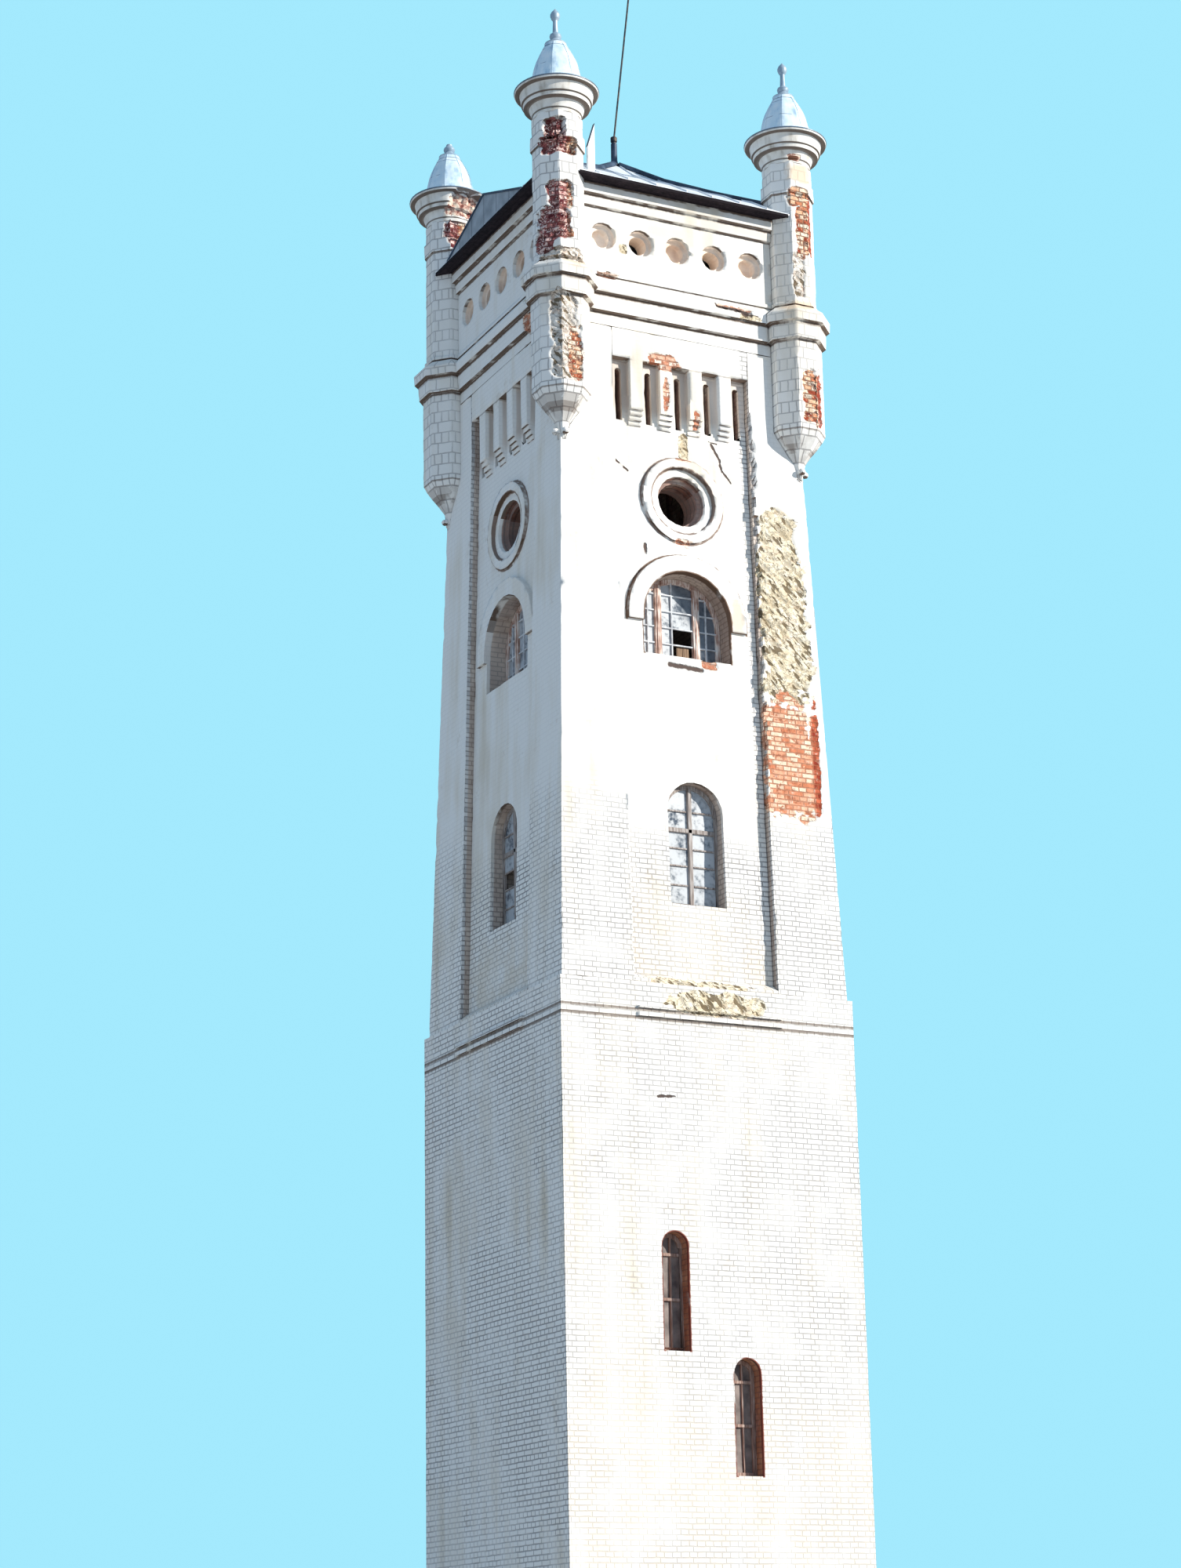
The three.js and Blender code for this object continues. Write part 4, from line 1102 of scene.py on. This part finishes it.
# Floors: boards nailed on joists in the two upper rooms, and brick paving laid in rows on
# the ground.
boarding, shader, place = new_finish("floor_boarding", roughness=0.75)
gap = 1.0 - rise(part(place, "X").math("PINGPONG", 0.07), 0.0, 0.003)
fibres = grain(place, 3.0, 6.0, stretch=(14, 1, 1))
lay(
    shader, "Base Color",
    blend(tones(fibres, (0.3, (0.12, 0.085, 0.06)), (0.7, (0.33, 0.26, 0.19))), (0.02, 0.015, 0.01), gap)
)
relief(shader, fibres * 0.003 - gap * 0.006)
dress("lower_floor", boarding)
dress("upper_floor", boarding)
paving, shader, place = new_finish("ground_paving", roughness=0.85)
joints, tone = bricks(part(place, "X"), part(place, "Y"), course=0.13)
lay(
    shader, "Base Color",
    blend(tones(tone, (0.0, (0.22, 0.10, 0.07)), (1.0, (0.42, 0.24, 0.17))), (0.2, 0.18, 0.16), joints)
)
relief(shader, grain(place, 20.0, 4.0) * 0.004 - joints * 0.006)
dress("ground_floor", paving)

# Arched windows: a bowed wooden frame with two heavy posts, light sashes painted white, and small panes set
# at slight tilts. Most glass is dusty, and a few panes are missing. On the front window, the panes under the
# arch's shadow are painted darker with less dust: painted shadow.
FRAME_WIDTH = 0.065
FRAME_DEPTH = 0.07
FIT = 0.0004
PANE_THICK = 0.004
PANE_TILT = 0.02
painted_wood, shader, place = new_finish("window_wood", roughness=0.7)
fibres = grain(place, 6.0, 5.0, stretch=(8, 8, 0.7))
mid = grain(place, 5.0, 5.0)
coat = tones(
    fibres * 0.6 + mid * 0.4, (0.38, (0.24, 0.12, 0.085)), (0.48, (0.50, 0.33, 0.27)),
    (0.54, (0.72, 0.60, 0.53)), (0.62, (0.80, 0.76, 0.72))
)
lay(shader, "Base Color", coat)
relief(shader, fibres * 0.003 + mid * 0.002)
white_bars, shader, place = new_finish("sash_white", roughness=0.6)
mid = grain(place, 9.0, 5.0)
lay(
    shader, "Base Color",
    tones(mid, (0.36, (0.40, 0.42, 0.45)), (0.52, (0.62, 0.66, 0.70)), (0.7, (0.78, 0.80, 0.82)))
)
relief(shader, mid * 0.002)
dusty_glass, shader, place = new_finish("dusty_glass", roughness=0.12)
mid = grain(place, 3.5, 5.0)
# On the front window, panes under the arch's cast shadow get less dust and look dark: painted shadow of the
# arch.
painted_arch_shadow = rise(part(place, "X") + (part(place, "Z") - 17.9) * 0.55, 0.12, 0.32)
painted_arch_shadow = painted_arch_shadow * (1.0 - rise(part(place, "Y"), -1.70, -1.69))
dust_and_painted_shadow = rise(mid * 0.6 + grain(place, 16.0, 4.0) * 0.4, 0.30, 0.56)
dust_and_painted_shadow = dust_and_painted_shadow * (1.0 - painted_arch_shadow * rise(part(place, "Z"), 16.0, 16.1) * 0.75)
lay(shader, "Base Color", blend((0.06, 0.08, 0.11), (0.46, 0.50, 0.54), dust_and_painted_shadow))
lay(shader, "Roughness", 0.06 + dust_and_painted_shadow * 0.4)
relief(shader, grain(place, 4.0, 1.0) * 0.002)


def round_sheet(x, half, sill, spring, y, border=0.0):
    """A flat sheet that fills a round-headed opening, or with a border only its rim."""
    start_fresh()
    bpy.ops.mesh.primitive_circle_add(
        vertices=64, radius=half, fill_type="NGON", location=(x, y, spring), rotation=(math.pi / 2, 0, 0)
    )
    piece = bpy.context.object
    bpy.ops.object.transform_apply(location=True, rotation=True, scale=True)
    bpy.ops.object.mode_set(mode="EDIT")
    bpy.ops.mesh.select_all(action="SELECT")
    bpy.ops.mesh.bisect(plane_co=(x, y, spring + 1e-4), plane_no=(0, 0, 1), clear_inner=True)
    bpy.ops.mesh.select_mode(type="EDGE")
    bpy.ops.object.mode_set(mode="OBJECT")
    for edge in piece.data.edges:
        edge.select = all(piece.data.vertices[v].co.z < spring + 1e-3 for v in edge.vertices)
    bpy.ops.object.mode_set(mode="EDIT")
    bpy.ops.mesh.extrude_region_move(TRANSFORM_OT_translate={"value": (0, 0, sill - spring)})
    bpy.ops.mesh.select_all(action="SELECT")
    bpy.ops.mesh.dissolve_limited(angle_limit=0.001)
    bpy.ops.mesh.select_mode(type="FACE")
    bpy.ops.mesh.select_all(action="SELECT")
    if border:
        bpy.ops.mesh.inset(thickness=border, use_even_offset=True)
        bpy.ops.mesh.delete(type="FACE")
    bpy.ops.mesh.select_mode(type="VERT")
    bpy.ops.object.mode_set(mode="OBJECT")
    return piece


def thicken(piece, thickness, bevel=0.0):
    """The sheet made solid about its own middle, its arrises eased."""
    alone(piece)
    solid = piece.modifiers.new("thick", "SOLIDIFY")
    solid.thickness = thickness
    solid.offset = 0
    bpy.ops.object.modifier_apply(modifier=solid.name)
    if bevel:
        ease = piece.modifiers.new("ease", "BEVEL")
        ease.width = bevel
        ease.segments = 2
        ease.limit_method = "ANGLE"
        bpy.ops.object.modifier_apply(modifier=ease.name)
    return piece


def sash_bar(x0, z0, x1, z1, y, width, depth, ease=0.004):
    """A straight bar in the plane of the window."""
    start_fresh()
    length = math.hypot(x1 - x0, z1 - z0)
    turn = math.atan2(x1 - x0, z1 - z0)
    bpy.ops.mesh.primitive_cube_add(
        size=1, location=((x0 + x1) / 2, y, (z0 + z1) / 2), rotation=(0, turn, 0),
        scale=(width, depth, length)
    )
    bar = bpy.context.object
    bpy.ops.object.transform_apply(location=True, rotation=True, scale=True)
    bpy.ops.object.mode_set(mode="EDIT")
    bpy.ops.mesh.select_all(action="SELECT")
    bpy.ops.mesh.bevel(offset=ease, segments=1)
    bpy.ops.object.mode_set(mode="OBJECT")
    return bar


def glazing(x, half, sill, spring, y, uprights, levels, missing, seed):
    """Panes cut from one sheet along the bars, each set at its own slight tilt."""
    sheet = round_sheet(x, half, sill, spring, y)
    alone(sheet)
    bpy.ops.object.mode_set(mode="EDIT")
    for at in uprights:
        bpy.ops.mesh.select_all(action="SELECT")
        bpy.ops.mesh.bisect(plane_co=(at, y, 0), plane_no=(1, 0, 0))
    for at in levels:
        bpy.ops.mesh.select_all(action="SELECT")
        bpy.ops.mesh.bisect(plane_co=(0, y, at), plane_no=(0, 0, 1))
    bpy.ops.mesh.select_all(action="SELECT")
    bpy.ops.mesh.edge_split(type="EDGE")
    bpy.ops.object.mode_set(mode="OBJECT")
    dice = random.Random(seed)
    gone = []
    for polygon in sheet.data.polygons:
        middle = polygon.center
        lean, swing = dice.uniform(-PANE_TILT, PANE_TILT), dice.uniform(-PANE_TILT, PANE_TILT)
        for corner in polygon.vertices:
            vertex = sheet.data.vertices[corner]
            vertex.co.y += (vertex.co.x - middle.x) * swing + (vertex.co.z - middle.z) * lean
        if any(abs(middle.x - mx) < 0.1 and abs(middle.z - mz) < 0.1 for mx, mz in missing):
            gone.append(polygon.index)
    if gone:
        pick_faces(sheet.data, gone)
        bpy.ops.object.mode_set(mode="EDIT")
        bpy.ops.mesh.delete(type="FACE")
        bpy.ops.mesh.select_mode(type="VERT")
        bpy.ops.object.mode_set(mode="OBJECT")
    thicken(sheet, PANE_THICK)
    sheet.data.materials.append(dusty_glass)
    return sheet


def stand(pieces, quarter):
    """The pieces of a window, turned to their side of the tower."""
    for piece in pieces:
        piece.data.transform(Matrix.Rotation(quarter * math.pi / 2, 4, "Z"))
        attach(piece, "root")


ARCH_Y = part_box("front_arched_window")[0][1] + FRAME_DEPTH / 2
ARCH_POST = 0.33
ARCH_BARS = (-0.09, -0.505, 0.505)
ARCH_LEVELS = [17.53, 17.795, 18.06, 18.325]
ARCH_LIGHT = 0.69


def arch_top(x, border):
    return ARCH_SPRING + math.sqrt(max((ARCH_HALF - border) ** 2 - x * x, 0.0))


def outer_window(side, quarter, seed, missing):
    half, sill, front = ARCH_HALF - FIT, ARCH_SILL + FIT, ARCH_Y - 0.012
    rim = round_sheet(0, half, sill, ARCH_SPRING, ARCH_Y, border=FRAME_WIDTH)
    rim = thicken(rim, FRAME_DEPTH, 0.008)
    lip = thicken(round_sheet(0, half - 0.055, sill + 0.055, ARCH_SPRING, front, border=0.028), 0.03, 0.005)
    posts = []
    heavy = (0.05, 0.04, ARCH_Y - 0.004, 0.12, 0.078, 0.01)
    bead = (0.06, 0.05, ARCH_Y - 0.046, 0.05, 0.02, 0.006)
    for foot, border, y, width, depth, ease in (heavy, bead):
        for x in (-ARCH_POST, ARCH_POST):
            posts.append(sash_bar(x, sill + foot, x, arch_top(x, border), y, width, depth, ease))
    wood = join([rim, lip, *posts], side + "_arched_window_frame", painted_wood)
    bars = [sash_bar(x, sill + 0.06, x, arch_top(x, 0.05), front, 0.026, 0.034) for x in ARCH_BARS]
    for z in ARCH_LEVELS:
        reach = math.sqrt(ARCH_LIGHT ** 2 - max(z - ARCH_SPRING, 0.0) ** 2)
        for left, right in ((-reach, -0.39), (-0.27, 0.27), (0.39, reach)):
            if right - left > 0.05:
                bars.append(sash_bar(left, z, right, z, front, 0.024, 0.032))
    bars = join(bars, side + "_arched_window_bars", white_bars)
    uprights = [-0.505, -ARCH_POST, -0.09, ARCH_POST, 0.505]
    glass = glazing(0, 0.70, 17.27, ARCH_SPRING, ARCH_Y, uprights, ARCH_LEVELS, missing, seed)
    glass.name = side + "_arched_window_glass"
    stand((wood, bars, glass), quarter)
    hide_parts(side + "_arched_window")


outer_window("front", 0, 3, [(0.12, 17.66), (0.12, 17.40)])
outer_window("right", 1, 5, [(-0.42, 17.66)])
outer_window("back", 2, 7, [(0.12, 17.93), (0.6, 17.4)])
outer_window("left", 3, 11, [(-0.2, 17.40)])

# Patch of the front arched window: two short boards, raw and brown, set side by side behind
# the bars where a pane of the lowest row is missing.


def wood_finish(name, roughness, stops, scale=6.0, stretch=(8, 8, 0.7), depth=0.003):
    """Bare or painted wood, streaked along its upright grain."""
    wood, shader, place = new_finish(name, roughness=roughness)
    fibres = grain(place, scale, 5.0, stretch=stretch)
    lay(shader, "Base Color", tones(fibres, *stops))
    relief(shader, fibres * depth)
    return wood


raw_stops = [(0.3, (0.13, 0.075, 0.045)), (0.7, (0.36, 0.24, 0.15))]
raw_board = wood_finish("raw_board", 0.85, raw_stops, scale=5.0, stretch=(9, 9, 0.6), depth=0.004)
left_board = sash_bar(0.045, 17.30, 0.045, 17.50, ARCH_Y + 0.012, 0.10, 0.02)
right_board = sash_bar(0.16, 17.29, 0.155, 17.51, ARCH_Y + 0.014, 0.11, 0.018)
patch = join([left_board, right_board], "front_arched_window_patch", raw_board)
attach(patch, "root")

# Low windows: tall round-headed wooden windows with one post, a transom and small panes,
# painted grey. A pane is missing on each of two sides.
grey_stops = [(0.3, (0.13, 0.10, 0.09)), (0.5, (0.30, 0.26, 0.24)), (0.7, (0.50, 0.47, 0.45))]
grey_paint = wood_finish("low_window_wood", 0.75, grey_stops)
LOW_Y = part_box("front_low_window")[0][1] + FRAME_DEPTH / 2
LOW_HALF = 0.465
LOW_SILL = 13.3
LOW_SPRING = 14.75
LOW_LEVELS = [13.65, 13.95, 14.22]
TRANSOM = 14.5
HEAD_BAR = 14.80


def low_window(side, quarter, seed, missing):
    rim = round_sheet(0, LOW_HALF - FIT, LOW_SILL + FIT, LOW_SPRING, LOW_Y, border=FRAME_WIDTH)
    rim = thicken(rim, FRAME_DEPTH, 0.008)
    post = sash_bar(0, 13.35, 0, 15.17, LOW_Y - 0.003, 0.07, 0.076, 0.008)
    transom = sash_bar(-0.42, TRANSOM, 0.42, TRANSOM, LOW_Y - 0.003, 0.07, 0.076, 0.008)
    wood = join([rim, post, transom], side + "_low_window_frame", grey_paint)
    bars = []
    for z, reach in [(level, 0.41) for level in LOW_LEVELS] + [(HEAD_BAR, 0.39)]:
        for s in (-1, 1):
            bars.append(sash_bar(s * 0.055, z, s * reach, z, LOW_Y - 0.01, 0.024, 0.03))
    bars = join(bars, side + "_low_window_bars", grey_paint)
    glass = glazing(0, 0.42, 13.34, LOW_SPRING, LOW_Y, [0], LOW_LEVELS + [TRANSOM, HEAD_BAR], missing, seed)
    glass.name = side + "_low_window_glass"
    stand((wood, bars, glass), quarter)
    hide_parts(side + "_low_window")


low_window("front", 0, 13, [])
low_window("right", 1, 17, [(0.2, 13.8)])
low_window("back", 2, 19, [])
low_window("left", 3, 23, [(-0.2, 14.1)])

# Stair windows: narrow openings in the front wall of the base, with plain brown frames,
# two light cross bars and one thin upright bar. Their glass is brown with dust.
brown_stops = [(0.3, (0.16, 0.09, 0.07)), (0.5, (0.32, 0.21, 0.17)), (0.7, (0.50, 0.40, 0.35))]
brown_paint = wood_finish("stair_window_wood", 0.75, brown_stops)
brown_glass, shader, place = new_finish("stair_window_glass", roughness=0.25)
mid = grain(place, 4.0, 5.0)
lay(shader, "Base Color", tones(mid, (0.36, (0.075, 0.055, 0.05)), (0.62, (0.24, 0.19, 0.17))))
lay(shader, "Roughness", 0.2 + mid * 0.4)
relief(shader, grain(place, 4.0, 1.0) * 0.002)
STAIR_Y = -2.205
STAIR_POST = 0.02
for name, (x, half, sill, spring) in zip(("upper_stair_window", "lower_stair_window"), STAIR_OPENINGS):
    rim = thicken(round_sheet(x, half - FIT, sill + FIT, spring, STAIR_Y, border=0.06), FRAME_DEPTH, 0.006)
    levels = [(sill + spring) / 2, spring - 0.1]
    reach = half - 0.05
    bars = [sash_bar(x - reach, z, x + reach, z, STAIR_Y - 0.004, 0.045, 0.07, 0.006) for z in levels]
    at = x + STAIR_POST
    bars.append(sash_bar(at, sill + 0.05, at, spring + half - 0.06, STAIR_Y - 0.008, 0.03, 0.04))
    wood = join([rim, *bars], name + "_frame", brown_paint)
    glass = glazing(x, half - 0.04, sill + 0.04, spring, STAIR_Y, [at], levels, [], 29)
    glass.name = name + "_glass"
    glass.data.materials[0] = brown_glass
    stand((wood, glass), 0)
    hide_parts(name)

# Back door: upright boards nailed on ledges inside, grey with weather, and hung on two long
# iron straps.
door_wood, shader, place = new_finish("door_wood", roughness=0.8)
fibres = grain(place, 5.0, 5.0, stretch=(9, 9, 0.5))
gap = 1.0 - rise(part(place, "X").math("PINGPONG", 0.0625), 0.0, 0.004)
lay(
    shader, "Base Color",
    blend(tones(fibres, (0.3, (0.14, 0.115, 0.10)), (0.7, (0.37, 0.33, 0.29))), (0.03, 0.025, 0.02), gap)
)
relief(shader, fibres * 0.003 - gap * 0.006)
dress("back_door", door_wood)
straps = [sash_bar(-0.48, z, 0.30, z, 2.195, 0.05, 0.009, 0.002) for z in (0.62, 1.95)]
straps = join(straps, "back_door_straps", iron)
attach(straps, "root")

# Setting: a pale floor, a pale blue backdrop, a warm low sun from the right and a soft blue fill.
# The camera stands low, to the left of the front, and looks up at the tower.
SUN_FROM = (0.66, -0.66, 0.37)
CAMERA_PLACE = (-21.98, -42.40, 1.60)
CAMERA_TURNS = ((-26.69, "Z"), (106.56, "X"), (-1.10, "Z"))
start_fresh()
bpy.ops.mesh.primitive_plane_add(size=400, location=(0, 0, -0.002))
floor = bpy.context.object
floor.name = "pale_floor"
floor_finish, shader, place = new_finish("pale_floor", roughness=0.9)
lay(shader, "Base Color", tones(grain(place, 0.4, 4.0), (0.3, (0.54, 0.53, 0.51)), (0.7, (0.60, 0.59, 0.57))))
floor.data.materials.append(floor_finish)

world = bpy.data.worlds.new("surround")
bpy.context.scene.world = world
world.use_nodes = True
fill = world.node_tree.nodes["Background"]
sky = Wire(world.node_tree, fill.outputs[0])
straight = sky.node("LightPath", {}, {}, out="Is Camera Ray")
tint = blend((0.27, 0.40, 0.56), (0.37, 0.82, 0.99), straight)
world.node_tree.links.new(tint.socket, fill.inputs["Color"])
fill.inputs["Strength"].default_value = 1.0

key = bpy.data.lights.new("key", "SUN")
key.energy = 5.4
key.angle = math.radians(1.0)
key.color = (1.0, 0.94, 0.85)
key_light = bpy.data.objects.new("key", key)
key_light.rotation_mode = "QUATERNION"
key_light.rotation_quaternion = Vector(SUN_FROM).to_track_quat("Z", "Y")
bpy.context.scene.collection.objects.link(key_light)

camera_data = bpy.data.cameras.new("camera")
camera_data.sensor_fit = "AUTO"
camera_data.sensor_width = 36
camera_data.lens = 72.95
camera_data.clip_end = 1000
camera = bpy.data.objects.new("camera", camera_data)
pan, tilt, roll = (Matrix.Rotation(math.radians(angle), 4, axis) for angle, axis in CAMERA_TURNS)
camera.matrix_world = Matrix.Translation(CAMERA_PLACE) @ (pan @ tilt @ roll)
bpy.context.scene.collection.objects.link(camera)
bpy.context.scene.camera = camera
bpy.context.scene.view_settings.view_transform = "Standard"

bpy.context.view_layer.update()
